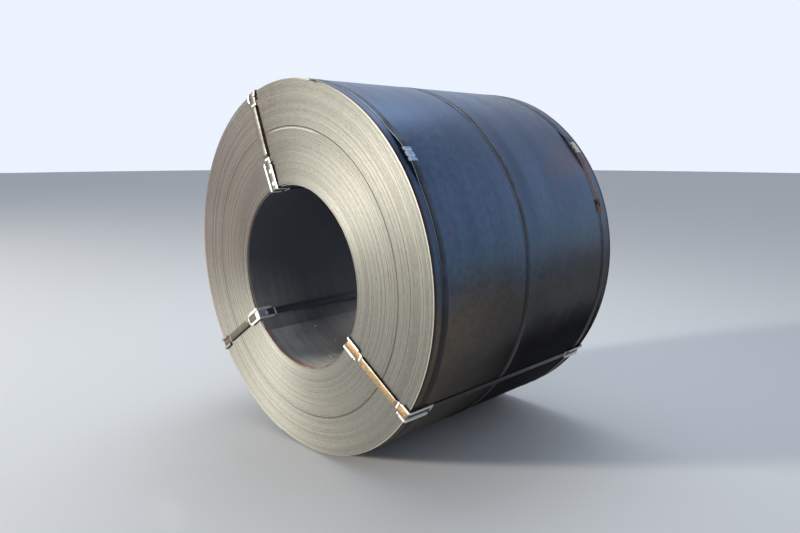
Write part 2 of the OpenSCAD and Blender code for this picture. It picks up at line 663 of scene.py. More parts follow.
@dataclass(frozen=True)
class CutEdgeFinish:
    """Bare sheared edges of the wound strip, seen on both ends of the coil."""

    axis_z: float
    bore_r: float
    outer_r: float
    loose_r: float
    pitch: float
    tear_at_deg: float
    bright: Colour = (0.236, 0.234, 0.203)
    dull: Colour = (0.211, 0.209, 0.184)
    mauve: Colour = (0.112, 0.095, 0.087)
    cream: Colour = (0.430, 0.410, 0.340)
    rust: Colour = (0.170, 0.070, 0.036)
    ember: Colour = (0.420, 0.130, 0.060)
    dark_rust: Colour = (0.070, 0.046, 0.032)
    painted_shade_at_deg: float = 141.0
    glint_at_deg: float = 88.0
    rim_highlight_at_deg: float = 4.0
    ember_at_deg: float = 192.0

    def material(self) -> bpy.types.Material:
        """Builds the material."""
        s = Surface("cut_edge_steel", self.axis_z)
        w = s.wiring
        turn = s.attribute("turn")
        per_turn = w.noise_along(turn, 0.83, 2.0)
        dashes = w.noise_along(turn, 150.0, 2.0)
        groups = w.noise_along(s.out, 38.0, 3.0)
        patches = w.noise(s.place, 2.2, 2.0)
        tone = w.mix(w.span(per_turn, 0.3, 0.7), self.dull, self.bright)
        # Painted shade: a darker, mauve, patchy sector of both ends towards the upper left.
        painted_shade_sector = w.times(
            w.span(s.toward(self.painted_shade_at_deg), 0.40, 0.95, 0.0, 0.95),
            w.span(patches, 0.3, 0.7, 0.75, 1.0),
        )
        tone = w.mix(painted_shade_sector, tone, self.mauve)
        shade = w.sum(w.span(groups, 0.3, 0.7, 0.90, 1.07), w.span(dashes, 0.25, 0.75, -0.07, 0.07))
        tone = s.shaded_by(tone, shade)
        tone = w.mix(self._rust_share(s, turn), tone, self.rust)
        tone = self._loose_turn(s, tone, patches)
        tone = self._outermost(s, tone)
        grain = w.noise(s.rolled(260.0, 900.0, 1400.0), 1.0, 3.0, 0.6)
        scratches = w.noise_along(turn, 420.0, 2.0)
        normal = s.bump(w.sum(grain, scratches), 0.00012, 0.6)
        s.set(
            Base_Color=tone,
            Metallic=0.52,
            Roughness=w.span(w.sum(per_turn, grain), 0.7, 1.3, 0.51, 0.58),
            Anisotropic=0.74,
            Tangent=w.vector("NORMALIZE", w.join(s.x, 0.0, s.z)),
            Normal=normal,
        )
        return s.material

    def _loose_turn(self, s: Surface, tone: Any, patches: Any) -> Socket:
        """Darkens the gap at the loose turn, and puts a glint on the turn inside it, at the top.

        Args:
            s: The surface.
            tone: The colour so far.
            patches: Slow noise that varies the dark line.

        Returns:
            The colour with the loose turn.
        """
        w = s.wiring
        loose = w.math("SUBTRACT", s.out, self.loose_r)
        near_loose = w.span(w.math("ABSOLUTE", loose), 0.3 * self.pitch, 0.8 * self.pitch, 0.5, 0.0)
        dark = w.times(near_loose, w.span(patches, 0.3, 0.6, 0.4, 1.0))
        tone = w.mix(dark, tone, self.dark_rust)
        beside = w.math("ABSOLUTE", w.math("ADD", loose, 1.5 * self.pitch))
        glint = w.times(
            w.span(beside, 0.3 * self.pitch, 0.6 * self.pitch, 0.8, 0.0),
            w.span(s.toward(self.glint_at_deg), 0.955, 0.985),
        )
        return w.mix(glint, tone, self.cream)

    def _outermost(self, s: Surface, tone: Any) -> Socket:
        """Paints a highlight on the outermost turn on one side, darkens it at its tear and rusts it on the
        other side.

        Args:
            s: The surface.
            tone: The colour so far.

        Returns:
            The colour with the outermost turn.
        """
        w = s.wiring
        last = w.span(s.out, self.outer_r - 1.1 * self.pitch, self.outer_r - 0.9 * self.pitch)
        rusty = w.times(
            w.span(s.toward(self.ember_at_deg), 0.80, 0.93),
            w.span(s.out, self.outer_r - 0.7 * self.pitch, self.outer_r - 0.4 * self.pitch),
        )
        # Painted highlight: the outermost turn is lightened to cream towards the right.
        bright = w.times(last, w.span(s.toward(self.rim_highlight_at_deg), 0.34, 0.70))
        tone = w.mix(bright, tone, self.cream)
        torn = w.times(last, w.span(s.toward(self.tear_at_deg), 0.9994, 0.9998))
        tone = w.mix(torn, tone, self.dark_rust)
        return w.mix(rusty, tone, self.ember)

    def _rust_share(self, s: Surface, turn: Any) -> Socket:
        """Masks the rust of the eye's lower edge and of a few odd turns.

        Args:
            s: The surface.
            turn: How many turns in from the strip's inner end.

        Returns:
            The share of rust.
        """
        w = s.wiring
        broken = w.span(w.noise(s.place, 26.0, 3.0), 0.35, 0.62)
        eye_edge = w.span(s.out, self.bore_r + 1.6 * self.pitch, self.bore_r + 0.4 * self.pitch)
        low = w.span(s.z, -0.6 * self.bore_r, -0.85 * self.bore_r)
        odd = w.span(w.noise_along(w.math("FLOOR", turn), 7.3, 0.0), 0.66, 0.72, 0.0, 0.35)
        odd = w.times(odd, w.span(w.noise(s.place, 5.0), 0.45, 0.65))
        return w.times(w.math("MAXIMUM", w.times(eye_edge, low), odd), broken)


@dataclass(frozen=True)
class MillScaleFinish:
    """Blue-black mill scale on the coil's outer wrap, teal lower down and brown towards the floor, partly
    weathering and partly painted shade, with painted light low at the front, painted shade under it and
    along its ends, and a painted sheen at the upper right.
    """

    axis_z: float
    outer_r: float
    half: float
    blue: Colour = (0.090, 0.140, 0.240)
    deep: Colour = (0.062, 0.098, 0.175)
    violet: Colour = (0.110, 0.110, 0.165)
    teal: Colour = (0.080, 0.138, 0.185)
    brown: Colour = (0.074, 0.066, 0.060)
    front_brown_painted_light: Colour = (0.126, 0.098, 0.074)
    sheen: Colour = (0.190, 0.140, 0.150)
    painted_shade_below: Colour = (0.007, 0.006, 0.006)
    # Painted shade colour of the band along the outer wrap's ends.
    edge: Colour = (0.045, 0.020, 0.024)
    sheen_at_deg: float = 38.0
    slope: float = 80 * MM

    def material(self) -> bpy.types.Material:
        """Builds the material."""
        s = Surface("blue_mill_scale", self.axis_z)
        w = s.wiring
        bands = w.noise(s.rolled(0.7, 9.0), 1.0, 3.0)
        streaks = w.noise(s.rolled(2.5, 60.0), 1.0, 3.0, 0.6)
        clouds = w.noise(s.place, 3.1, 4.0, 0.55)
        mottle = w.noise(s.place, 38.0, 3.0, 0.6)
        rolled = w.sum(bands, w.times(streaks, 0.5))
        tone = w.mix(w.span(rolled, 0.55, 0.95), self.deep, self.blue)
        tone = w.mix(w.span(clouds, 0.5, 0.72, 0.0, 0.55), tone, self.violet)
        sag = w.sum(s.z, w.span(clouds, 0.3, 0.7, -0.035, 0.035))
        # Painted sheen: a pale pinkish line along the rear half of the outer wrap, towards the upper right.
        painted_sheen = w.times(
            w.span(s.toward(self.sheen_at_deg), 0.989, 0.999, 0.0, 0.45),
            w.span(s.y, 0.35 * self.half, 0.8 * self.half),
        )
        tone = w.mix(painted_sheen, tone, self.sheen)
        # Painted light: the brown low down is lighter towards the front end.
        low_tone = w.mix(w.span(s.y, -0.9 * self.half, 0.0), self.front_brown_painted_light, self.brown)
        # Partly weathering, partly painted shade: teal, then brown, lower down, the line rising by slope
        # towards the rear.
        tide = w.sum(sag, w.span(s.y, -self.half, self.half, 0.0, -self.slope))
        tone = w.mix(w.span(tide, 0.42 * self.outer_r, 0.16 * self.outer_r, 0.0, 0.6), tone, self.teal)
        tone = w.mix(w.span(tide, 0.26 * self.outer_r, -0.14 * self.outer_r), tone, low_tone)
        # Painted shade: the underside darkens to near black, more towards the rear.
        under = w.span(sag, 0.02 * self.outer_r, -0.40 * self.outer_r)
        under = w.times(under, w.span(s.y, -0.95 * self.half, 0.15 * self.half, 0.08, 1.0))
        tone = w.mix(under, tone, self.painted_shade_below)
        # Painted shade: a dark reddish band along both ends of the outer wrap, where its rounded edge lies
        # in shade.
        rim = w.span(s.from_middle(), self.half - 22 * MM, self.half - 6 * MM, 0.0, 0.85)
        tone = w.mix(rim, tone, self.edge)
        shade = w.span(mottle, 0.3, 0.7, 0.86, 1.12)
        tone = s.shaded_by(tone, shade)
        pits = w.noise(s.place, 160.0, 3.0, 0.6)
        waves = w.noise(s.rolled(3.0, 2.4), 1.0, 1.0)
        normal = s.bump(waves, 0.004, 0.5)
        normal = s.bump(w.sum(mottle, pits), 0.00025, 0.5, normal)
        polish = w.span(w.sum(streaks, mottle), 0.7, 1.3, 0.30, 0.42)
        s.set(
            Base_Color=tone,
            Metallic=w.span(under, 0.0, 1.0, 0.95, 0.15),
            Roughness=w.math("MAXIMUM", polish, w.times(under, 0.85)),
            Specular_IOR_Level=0.1,
            Normal=normal,
        )
        return s.material


@dataclass(frozen=True)
class EyeScaleFinish:
    """Dark scale on the eye's wall, with flecks of dried dirt low down and a lighter low part, partly dusty
    and partly painted light, lightest near the front end.
    """

    axis_z: float
    bore_r: float
    half: float
    scale: Colour = (0.082, 0.090, 0.110)
    dust_and_light: Colour = (0.225, 0.222, 0.215)
    front_dust_and_light: Colour = (0.800, 0.770, 0.720)
    fleck: Colour = (0.85, 0.83, 0.78)
    rust: Colour = (0.60, 0.33, 0.27)

    def material(self) -> bpy.types.Material:
        """Builds the material."""
        s = Surface("eye_mill_scale", self.axis_z)
        w = s.wiring
        clouds = w.noise(s.place, 5.5, 4.0, 0.6)
        streaks = w.noise(s.rolled(1.2, 34.0), 1.0, 3.0)
        turn = s.attribute("turn")
        low = w.math("MAXIMUM", w.span(turn, 0.42, 0.08), w.span(turn, 0.84, 0.99, 0.0, 0.5))
        # Partly dusty, partly painted light: the eye's low part is lighter, most towards the front end.
        dust_and_light = w.mix(w.span(s.y, -0.45 * self.half, -0.98 * self.half), self.dust_and_light, self.front_dust_and_light)
        dust_and_light_share = w.times(low, w.span(s.y, 0.5 * self.half, -0.7 * self.half, 0.45, 1.0))
        patchy = w.span(w.sum(clouds, streaks), 0.75, 1.2, 0.6, 1.0)
        tone = w.mix(w.times(dust_and_light_share, patchy), self.scale, dust_and_light)
        fringe = w.sum(s.from_middle(), w.span(clouds, 0.3, 0.7, -14 * MM, 14 * MM))
        near_end = w.span(fringe, self.half - 34 * MM, self.half - 4 * MM)
        tone = w.mix(w.times(near_end, low), tone, self.rust)
        specks = w.add("ShaderNodeTexVoronoi", {"Vector": s.place, "Scale": 22.0}).outputs["Distance"]
        small = w.span(w.noise(s.place, 9.0, 1.0), 0.44, 0.66, 0.0, 0.13)
        fleck = w.math("LESS_THAN", specks, w.times(small, low))
        tone = w.mix(fleck, tone, self.fleck)
        grain = w.noise(s.place, 120.0, 3.0, 0.6)
        s.set(
            Base_Color=tone,
            Metallic=0.2,
            Roughness=w.span(w.sum(clouds, grain), 0.7, 1.3, 0.42, 0.60),
            Normal=s.bump(grain, 0.0003, 0.6),
        )
        return s.material


@dataclass(frozen=True)
class StrapFinish:
    """Steel strapping: its coat, the rust on it and the metal worn bare at its edges, partly a painted
    highlight; painted shade can darken it on the coil's walls and towards the floor.
    """

    name: str
    frame: CoilFrame
    coat: Colour
    second: Colour
    rust: Colour
    rust_share: float
    # Colour of the lightened edge: partly wear, partly painted highlight.
    worn: Colour = (0.55, 0.54, 0.52)
    bare: Colour = (0.80, 0.79, 0.74)
    bare_wall_and_reflection: Colour = (0.48, 0.52, 0.60)
    edge_wear_and_highlight: float = 0.0
    highlight_side: float = 1.0
    wear_and_highlight_from: float = 0.88
    metallic: float = 0.6
    shaded: Colour | None = None
    shaded_eye: Colour = (0.085, 0.087, 0.108)
    low: Colour | None = None
    rusty_at_deg: float | None = None
    bare_within: float | None = None

    def material(self) -> bpy.types.Material:
        """Builds the material."""
        s = Surface(self.name, self.frame.axis_z)
        w = s.wiring
        half = self.frame.half
        clouds = w.noise(s.place, 13.0, 4.0, 0.6)
        fine = w.noise(s.place, 150.0, 3.0, 0.6)
        tone = w.mix(w.span(clouds, 0.35, 0.65), self.coat, self.second)
        start = 0.66 - 0.3 * self.rust_share
        spotted = w.sum(w.times(clouds, 0.6), w.times(fine, 0.4))
        spots = w.span(spotted, start, start + 0.1)
        tone = w.mix(w.times(spots, min(1.0, 2.0 * self.rust_share)), tone, self.rust)
        shade = w.span(fine, 0.25, 0.75, 0.85, 1.12)
        tone = s.shaded_by(tone, shade)
        # Painted shade: on the coil's outer wall and in the eye the strap is darkened, bluer in the eye.
        if self.shaded:
            walls = w.span(s.from_middle(), half + 1.0 * MM, half - 12 * MM)
            middle_r = (self.frame.outer_r + self.frame.bore_r) / 2
            in_eye = w.span(s.out, middle_r + 20 * MM, middle_r - 20 * MM)
            tone = w.mix(walls, tone, w.mix(in_eye, self.shaded, self.shaded_eye))
        # Painted shade: the strap darkens towards the floor.
        if self.low:
            tone = w.mix(w.span(s.z, 0.15, -0.10), tone, self.low)
        if self.rusty_at_deg is not None:
            tone = w.mix(w.span(s.toward(self.rusty_at_deg), 0.972, 0.985, 0.0, 0.6), tone, self.rust)
        # Partly wear, partly painted reflection: worn bare near the eye's corner, near white on the end and
        # blue-grey on the wall.
        if self.bare_within is not None:
            corner = w.span(s.out, self.bare_within, self.bare_within - 4 * MM)
            near_end = w.span(s.from_middle(), half - 50 * MM, half - 45 * MM)
            on_end = w.span(s.from_middle(), half - 3 * MM, half - 1 * MM)
            bare = w.mix(on_end, self.bare_wall_and_reflection, self.bare)
            tone = w.mix(w.times(corner, near_end), tone, bare)
        # Partly wear, partly painted highlight: one edge is lightened, less towards the floor and on the
        # coil's walls.
        side = w.times(s.attribute("edge"), self.highlight_side)
        edge = w.span(side, self.wear_and_highlight_from, self.wear_and_highlight_from + 0.09, 0.0, self.edge_wear_and_highlight)
        edge = w.times(edge, w.span(fine, 0.3, 0.5, 0.55, 1.0))
        if self.low:
            edge = w.times(edge, w.span(s.z, 0.02, 0.34, 0.06, 1.0))
        if self.shaded:
            edge = w.times(edge, w.math("SUBTRACT", 1.0, w.times(walls, 0.9)))
        tone = w.mix(edge, tone, self.worn)
        s.set(
            Base_Color=tone,
            Metallic=self.metallic,
            Roughness=w.span(w.sum(clouds, fine), 0.7, 1.3, 0.34, 0.52),
            Normal=s.bump(fine, 0.00012, 0.5),
        )
        return s.material


@dataclass(frozen=True)
class SheetFinish:
    """Sheet steel of the guards and the seals, from bright zinc to rust."""

    name: str
    axis_z: float
    bright: Colour = (0.90, 0.88, 0.83)
    dull: Colour = (0.72, 0.71, 0.66)
    stain: Colour = (0.26, 0.23, 0.17)
    stain_share: float = 0.2
    metallic: float = 0.2
    roughness: float = 0.42
    front_edge: float | None = None
    front_highlight_tone: Colour = (0.96, 0.96, 0.98)

    def material(self) -> bpy.types.Material:
        """Builds the material."""
        s = Surface(self.name, self.axis_z)
        w = s.wiring
        spangle = w.add("ShaderNodeTexVoronoi", {"Vector": s.place, "Scale": 210.0}).outputs["Color"]
        crystal = w.add("ShaderNodeSeparateColor", {0: spangle}).outputs[0]
        clouds = w.noise(s.place, 22.0, 4.0, 0.6)
        fine = w.noise(s.place, 260.0, 3.0, 0.6)
        spangled = w.sum(w.times(crystal, 0.45), w.times(clouds, 0.5))
        tone = w.mix(spangled, self.dull, self.bright)
        start = 0.70 - 0.25 * self.stain_share
        spotted = w.sum(w.times(clouds, 0.7), w.times(fine, 0.3))
        tone = w.mix(w.span(spotted, start, start + 0.12), tone, self.stain)
        metallic: Any = self.metallic
        # Painted highlight: the sheet is lightened and not metallic on its front side.
        if self.front_edge is not None:
            front = w.span(s.y, self.front_edge + 8 * MM, self.front_edge + 6 * MM)
            tone = w.mix(front, tone, self.front_highlight_tone)
            metallic = w.span(front, 0.0, 1.0, self.metallic, 0.0)
        s.set(
            Base_Color=tone,
            Metallic=metallic,
            Roughness=w.span(w.sum(crystal, fine), 0.4, 1.4, self.roughness - 0.06, self.roughness + 0.1),
            Normal=s.bump(w.sum(fine, clouds), 0.00015, 0.5),
        )
        return s.material


# ---- The wound strip ----


@dataclass
class WoundStrip:
    """The coil itself: one strip, wound turn on turn from its inner to its outer end."""

    frame: CoilFrame
    wraps: int = 79
    segments: int = 150
    thickness: float = 4.86 * MM
    chamfer: float = 0.32 * MM
    relief: float = 0.5 * MM
    inner_end_deg: float = 226.5
    outer_end_deg: float = 256.0
    ramp: float = 1 / 6
    inner_gap: float = 1.3 * MM
    recess: float = 7 * MM
    recess_starts: tuple[float, float] = (0.52, 0.60)
    recess_ends: tuple[float, float] = (1.0, 0.97)
    tear_at_deg: float = 79.0
    tear_turn: float = 0.010
    tear_depth: float = 9 * MM
    loose_gap: float = 1.5 * MM
    loose_r: float = 600 * MM
    eye_wraps: int = 3
    seed: float = 4.7

    @property
    def pitch(self) -> float:
        """Distance from one turn to the next."""
        room = self.frame.outer_r - self.frame.bore_r - self.thickness
        return (room - self.inner_gap - self.loose_gap) / (self.wraps - 1)

    @property
    def loose_turn(self) -> float:
        """How many turns in from the inner end the loose turn starts."""
        return (self.loose_r - self.frame.bore_r - self.inner_gap) / self.pitch

    @property
    def turns(self) -> float:
        """How many turns the whole strip makes."""
        whole = self.wraps - 1
        part = (self.outer_end_deg - self.inner_end_deg) / 360
        return whole + part

    @property
    def lag(self) -> float:
        """Ramps for each turn: under one, so that the ramps drift from the inner to the outer end."""
        return (self.wraps - self.ramp) / self.turns

    def build(self) -> Mesh:
        """Winds the strip with Geometry Nodes.

        Returns:
            The strip as a plain, closed mesh.
        """
        shape = ShapeTree("wound_strip")
        w = shape.wiring
        path = self._path(shape)
        profile = self._profile(shape)
        swept = {"Curve": path, "Profile Curve": profile, "Fill Caps": True}
        mesh = w.add("GeometryNodeCurveToMesh", swept)
        normal = w.add("ShaderNodeSeparateXYZ", {0: w.add("GeometryNodeInputNormal")})
        on_end = w.math("GREATER_THAN", w.math("ABSOLUTE", normal.outputs["Y"]), 0.25)
        place = w.add("ShaderNodeSeparateXYZ", {0: w.add("GeometryNodeInputPosition")})
        turn = w.add("GeometryNodeInputNamedAttribute", {"Name": "turn"}, data_type="FLOAT")
        narrow = w.times(
            w.span(turn, *self.recess_starts),
            w.span(turn, *self.recess_ends),
        )
        off_tear = w.math("ABSOLUTE", w.math("SUBTRACT", turn, shape.size("Tear")))
        torn = w.times(
            w.span(off_tear, 0.3 * self.tear_turn, self.tear_turn, self.tear_depth, 0.0),
            w.math("LESS_THAN", place.outputs["Y"], 0.0),
        )
        inset = w.math("MAXIMUM", w.times(narrow, shape.size("Recess")), torn)
        inset = w.times(inset, w.math("SIGN", place.outputs["Y"]))
        offset = w.join(0.0, w.times(inset, -1.0), 0.0)
        mesh = w.add("GeometryNodeSetPosition", {"Geometry": mesh, "Offset": offset})
        height = w.math("SUBTRACT", place.outputs["Z"], shape.size("Axis Height"))
        flat = w.join(place.outputs["X"], height, 0.0)
        out = w.add("ShaderNodeVectorMath", {0: flat}, operation="LENGTH").outputs["Value"]
        in_eye = w.math("LESS_THAN", out, w.sum(shape.size("Bore Radius"), self.eye_wraps * self.pitch))
        solid = w.add("GeometryNodeRealizeInstances", {0: mesh})
        solid = w.add("GeometryNodeSetMaterial", {0: solid, 2: shape.size("Scale", "NodeSocketMaterial")})
        eye = shape.size("Eye Scale", "NodeSocketMaterial")
        solid = w.add("GeometryNodeSetMaterial", {0: solid, 1: in_eye, 2: eye})
        cut = shape.size("Cut Edge", "NodeSocketMaterial")
        shape.end(w.add("GeometryNodeSetMaterial", {0: solid, 1: on_end, 2: cut}))
        mesh = shape.run(bpy.data.meshes.new("seed"), self._values())
        face_outwards(mesh)
        smooth(mesh, 25.0)
        return mesh

    def _values(self) -> dict[str, Any]:
        """Gives each named input of the tree its value.

        Returns:
            The values by the names of the inputs.
        """
        f = self.frame
        edge = CutEdgeFinish(
            f.axis_z, f.bore_r, f.outer_r, self.loose_r + self.pitch, self.pitch, self.tear_at_deg
        )
        return {
            "Axis Height": f.axis_z,
            "Bore Radius": f.bore_r,
            "Pitch": self.pitch,
            "Segments": self.segments,
            "Turns": self.turns,
            "Strip Thickness": self.thickness,
            "Strip Width": 2 * (f.half - self.relief),
            "Relief": self.relief,
            "Recess": self.recess,
            "Tear": self.turns - (self.outer_end_deg - self.tear_at_deg) / 360,
            "Seed": self.seed,
            "Scale": MillScaleFinish(f.axis_z, f.outer_r, f.half).material(),
            "Eye Scale": EyeScaleFinish(f.axis_z, f.bore_r, f.half).material(),
            "Cut Edge": edge.material(),
        }

    def _path(self, shape: ShapeTree) -> Any:
        """Lays the strip's centre line.

        Args:
            shape: The tree.

        Returns:
            The curve, which carries the number of turns at each point as "turn".
        """
        w = shape.wiring
        segments, turns = shape.size("Segments", "NodeSocketInt"), shape.size("Turns")
        count = w.sum(w.math("ROUND", w.times(segments, turns)), 1.0)
        line = w.add("GeometryNodeMeshLine", {"Count": count, "Offset": (1.0, 0.0, 0.0)})
        share = w.math("DIVIDE", w.add("GeometryNodeInputIndex"), w.math("SUBTRACT", count, 1.0))
        turn = w.times(share, turns)
        steps = w.times(turn, self.lag)
        ramp = w.span(w.math("FRACT", steps), 1.0 - self.ramp, 1.0)
        climb = w.times(w.sum(w.math("FLOOR", steps), ramp), shape.size("Pitch"))
        slack = w.sum(
            w.span(turn, 0.45, 0.8, 0.0, self.inner_gap),
            w.span(turn, self.loose_turn, self.loose_turn + 0.2, 0.0, self.loose_gap),
        )
        half_strip = w.times(shape.size("Strip Thickness"), 0.5)
        out = w.sum(shape.size("Bore Radius"), half_strip, climb, slack)
        angle = w.sum(w.times(turn, math.tau), math.radians(self.inner_end_deg))
        cosine, sine = w.math("COSINE", angle), w.math("SINE", angle)
        seed = shape.size("Seed")
        slow = w.noise_along(w.sum(turn, seed), 0.42, 1.0)
        quick = w.noise_along(w.sum(turn, seed), 2.7, 2.0)
        wander = w.sum(w.span(slow, 0.3, 0.7, -0.88, 0.88), w.span(quick, 0.3, 0.7, -0.1, 0.1))
        y = w.times(wander, shape.size("Relief"))
        z = w.sum(w.times(out, sine), shape.size("Axis Height"))
        place = w.join(w.times(out, cosine), y, z)
        placed = w.add("GeometryNodeSetPosition", {"Geometry": line, "Position": place})
        named = {"Geometry": placed, "Name": "turn", "Value": turn}
        marked = w.add("GeometryNodeStoreNamedAttribute", named, data_type="FLOAT", domain="POINT")
        curve = w.add("GeometryNodeMeshToCurve", {0: marked})
        facing = {"Curve": curve, "Normal": w.join(cosine, 0.0, sine)}
        return w.add("GeometryNodeSetCurveNormal", facing, mode="FREE")

    def _profile(self, shape: ShapeTree) -> Any:
        """Draws the strip's cross-section, with its four corners cut off.

        Args:
            shape: The tree.

        Returns:
            The closed profile.
        """
        w = shape.wiring
        width, thickness = shape.size("Strip Width"), shape.size("Strip Thickness")
        box = w.add("GeometryNodeCurvePrimitiveQuadrilateral", {"Width": thickness, "Height": width})
        cut = {"Curve": box, "Count": 1, "Radius": self.chamfer}
        return w.add("GeometryNodeFilletCurve", cut, mode="POLY")

    def dress(self) -> None:
        """Builds the strip and hands it over in the coil's place."""
        hand_over(show("wound_coil", self.build()), "coil_steel", "coil")


# ---- Bands ----


@dataclass(frozen=True)
class BandStock:
    """Flat stock that is swept along a path, with its edges rounded."""

    width: float
    thickness: float
    rounding: float = 0.3 * MM

    def sweep(
        self, path: Sequence[tuple[Vector, Vector]], material: bpy.types.Material
    ) -> Mesh:
        """Sweeps the stock along a path with Geometry Nodes.

        Args:
            path: Points of the stock's middle line, each with the way that its face looks.
            material: The stock's finish.

        Returns:
            A closed mesh, with how near each point is to the stock's edge as "edge".
        """
        line = bpy.data.meshes.new("path")
        line.from_pydata([p for p, _ in path], [(i, i + 1) for i in range(len(path) - 1)], [])
        out = line.attributes.new("out", "FLOAT_VECTOR", "POINT")
        out.data.foreach_set("vector", [c for _, n in path for c in n])
        values = {
            "Width": self.width,
            "Thickness": self.thickness,
            "Rounding": self.rounding,
            "Material": material,
        }
        mesh = band_tree().run(line, values)
        face_outwards(mesh)
        smooth(mesh, 40.0)
        return mesh


@cache
def band_tree() -> ShapeTree:
    """Wires the tree that sweeps flat stock along a path, once.

    Returns:
        The tree.
    """
    shape = ShapeTree("band_sweep")
    w = shape.wiring
    width, thickness = shape.size("Width"), shape.size("Thickness")
    rounding, material = shape.size("Rounding"), shape.size("Material", "NodeSocketMaterial")
    curve = w.add("GeometryNodeMeshToCurve", {0: shape.entry.outputs[0]})
    out = w.add("GeometryNodeInputNamedAttribute", {"Name": "out"}, data_type="FLOAT_VECTOR")
    facing = w.add("GeometryNodeSetCurveNormal", {"Curve": curve, "Normal": out}, mode="FREE")
    box = w.add("GeometryNodeCurvePrimitiveQuadrilateral", {"Width": thickness, "Height": width})
    profile = w.add("GeometryNodeFilletCurve", {"Curve": box, "Count": 2, "Radius": rounding}, mode="POLY")
    profile = w.add("GeometryNodeResampleCurve", {"Curve": profile}, mode="EVALUATED")
    place = w.add("ShaderNodeSeparateXYZ", {0: w.add("GeometryNodeInputPosition")})
    edge = w.math("DIVIDE", place.outputs["Y"], w.times(width, 0.5))
    named = {"Geometry": profile, "Name": "edge", "Value": edge}
    profile = w.add("GeometryNodeStoreNamedAttribute", named, data_type="FLOAT", domain="POINT")
    mesh = w.add("GeometryNodeCurveToMesh", {"Curve": facing, "Profile Curve": profile, "Fill Caps": True})
    solid = w.add("GeometryNodeRealizeInstances", {0: mesh})
    shape.end(w.add("GeometryNodeSetMaterial", {0: solid, 2: material}))
    return shape


@dataclass
class GirthStrap:
    """A strap around the coil, whose end lies over its start.

    It stands a little off the coil at its seal.
    """

    frame: CoilFrame
    name: str
    finish: StrapFinish
    width: float = 32 * MM
    thickness: float = 0.9 * MM
    climb: float = 45 * MM
    lap_from: float = 1.4  # Thicknesses above the ring's underside that only the lap reaches.
    steps: int = 360
    lift: float = 8 * MM
    lift_flat: float = 32 * MM
    lift_reach: float = 130 * MM
    seal: str | None = None

    def lap(self) -> Extents:
        """Measures where the strap lies double: there the CAD node reaches above its single ring."""
        ring_top = self.frame.extents(self.name).near + self.lap_from * self.thickness
        return self.frame.extents(self.name, ring_top)

    def build(self) -> Mesh:
        """Sweeps the strap around the coil.

        Returns:
            The strap's mesh.
        """
        node = self.frame.extents(self.name)
        lap = self.lap()
        low = node.near + self.thickness / 2
        lap_turn = lap.turn_end - lap.turn_start
        whole = math.tau + lap_turn
        climb_turn = self.climb / self.frame.outer_r
        seal_angle = self.frame.extents(self.seal).angle if self.seal else None
        path = []
        for i in range(self.steps + 1):
            turned = whole * i / self.steps
            rise = self.thickness * LAYER * eased((turned - math.tau + climb_turn) / climb_turn)
            angle = lap.turn_start + turned
            if seal_angle is not None:
                gap = abs(math.remainder(angle - seal_angle, math.tau)) * self.frame.outer_r
                rise += self.lift * eased((self.lift_reach - gap) / (self.lift_reach - self.lift_flat))
            out = Vector((math.cos(angle), 0.0, math.sin(angle)))
            path.append((self.frame.place(angle, low + rise, node.depth), out))
        return BandStock(self.width, self.thickness).sweep(path, self.finish.material())

    def dress(self) -> None:
        """Builds the strap and hands it over."""
        hand_over(show(self.name + "_band", self.build()), "girth_strapping", self.name)


@dataclass(frozen=True)
class SealShape:
    """A sheet sleeve crimped around two layers of strap, drawn flat.

    Its lower edges spread between the crimps.
    """

    length: float = 57 * MM
    width: float = 34.8 * MM
    sheet: float = 1.1 * MM
    notch: float = 3.8 * MM
    notch_at: float = 12 * MM
    notch_length: float = 12 * MM
    flare: float = 1.5 * MM
    lip: float = 4.5 * MM
    corner: float = 1.1 * MM
    wall_share: float = 0.8
    stations: int = 38

    def half_width(self, along: float) -> float:
        """Gives half of the sleeve's width, less its crimps.

        Args:
            along: Distance from the sleeve's middle along the strap.

        Returns:
            The half width there.
        """
        depth = 0.0
        for place in (-self.notch_at, self.notch_at):
            near = abs(along - place) / (self.notch_length / 2)
            if near < 1.0:
                depth += self.notch * (0.5 + 0.5 * math.cos(math.pi * near))
        return self.width / 2 - depth

    def loop(self, along: float, low: float, high: float, inset: float) -> list[tuple[float, float]]:
        """Draws the sleeve's outline across the strap.

        Args:
            along: Distance from the sleeve's middle along the strap.
            low: Height of its underside.
            high: Height of its top.
            inset: How far inside the outer outline it runs.

        Returns:
            Points as distance across and height.
        """
        half = self.half_width(along) - inset
        bottom, top = low + inset, high - inset
        crimp = self.width / 2 - self.half_width(along)
        corner = min(0.35 * (top - bottom), self.corner)
        lift = self.flare * crimp / self.notch
        lip = self.lip * (1 - crimp / self.notch)
        points = []
        for x_sign, ends in ((1, (bottom, top)), (-1, (top, bottom))):
            for y in ends:
                y_in = y + corner if y == bottom else y - corner
                reach = half + lip if y == bottom else half
                first, second = (reach - corner, y), (reach, y_in)
                pair = (first, second) if (y == bottom) == (x_sign == 1) else (second, first)
                points += [(x_sign * a, b + lift * (b > bottom)) for a, b in pair]
        return points

    def mesh(self, bend: Bend, low: float, high: float) -> Mesh:
        """Makes the sleeve.

        Args:
            bend: Gives a point for a distance along, a distance across and a height.
            low: Height of its underside.
            high: Height of its top.

        Returns:
            A closed ring of sheet.
        """
        wall = self.sheet * self.wall_share
        outer, inner = [], []
        for i in range(self.stations + 1):
            along = self.length * (i / self.stations - 0.5)
            outer.append([bend(along, x, y) for x, y in self.loop(along, low, high, 0.0)])
            inner.append([bend(along, x, y) for x, y in self.loop(along, low, high, wall)])
        mesh = from_grid(outer + inner[::-1], ring=True, closed=True)
        face_outwards(mesh)
        smooth(mesh, 35.0)
        return mesh


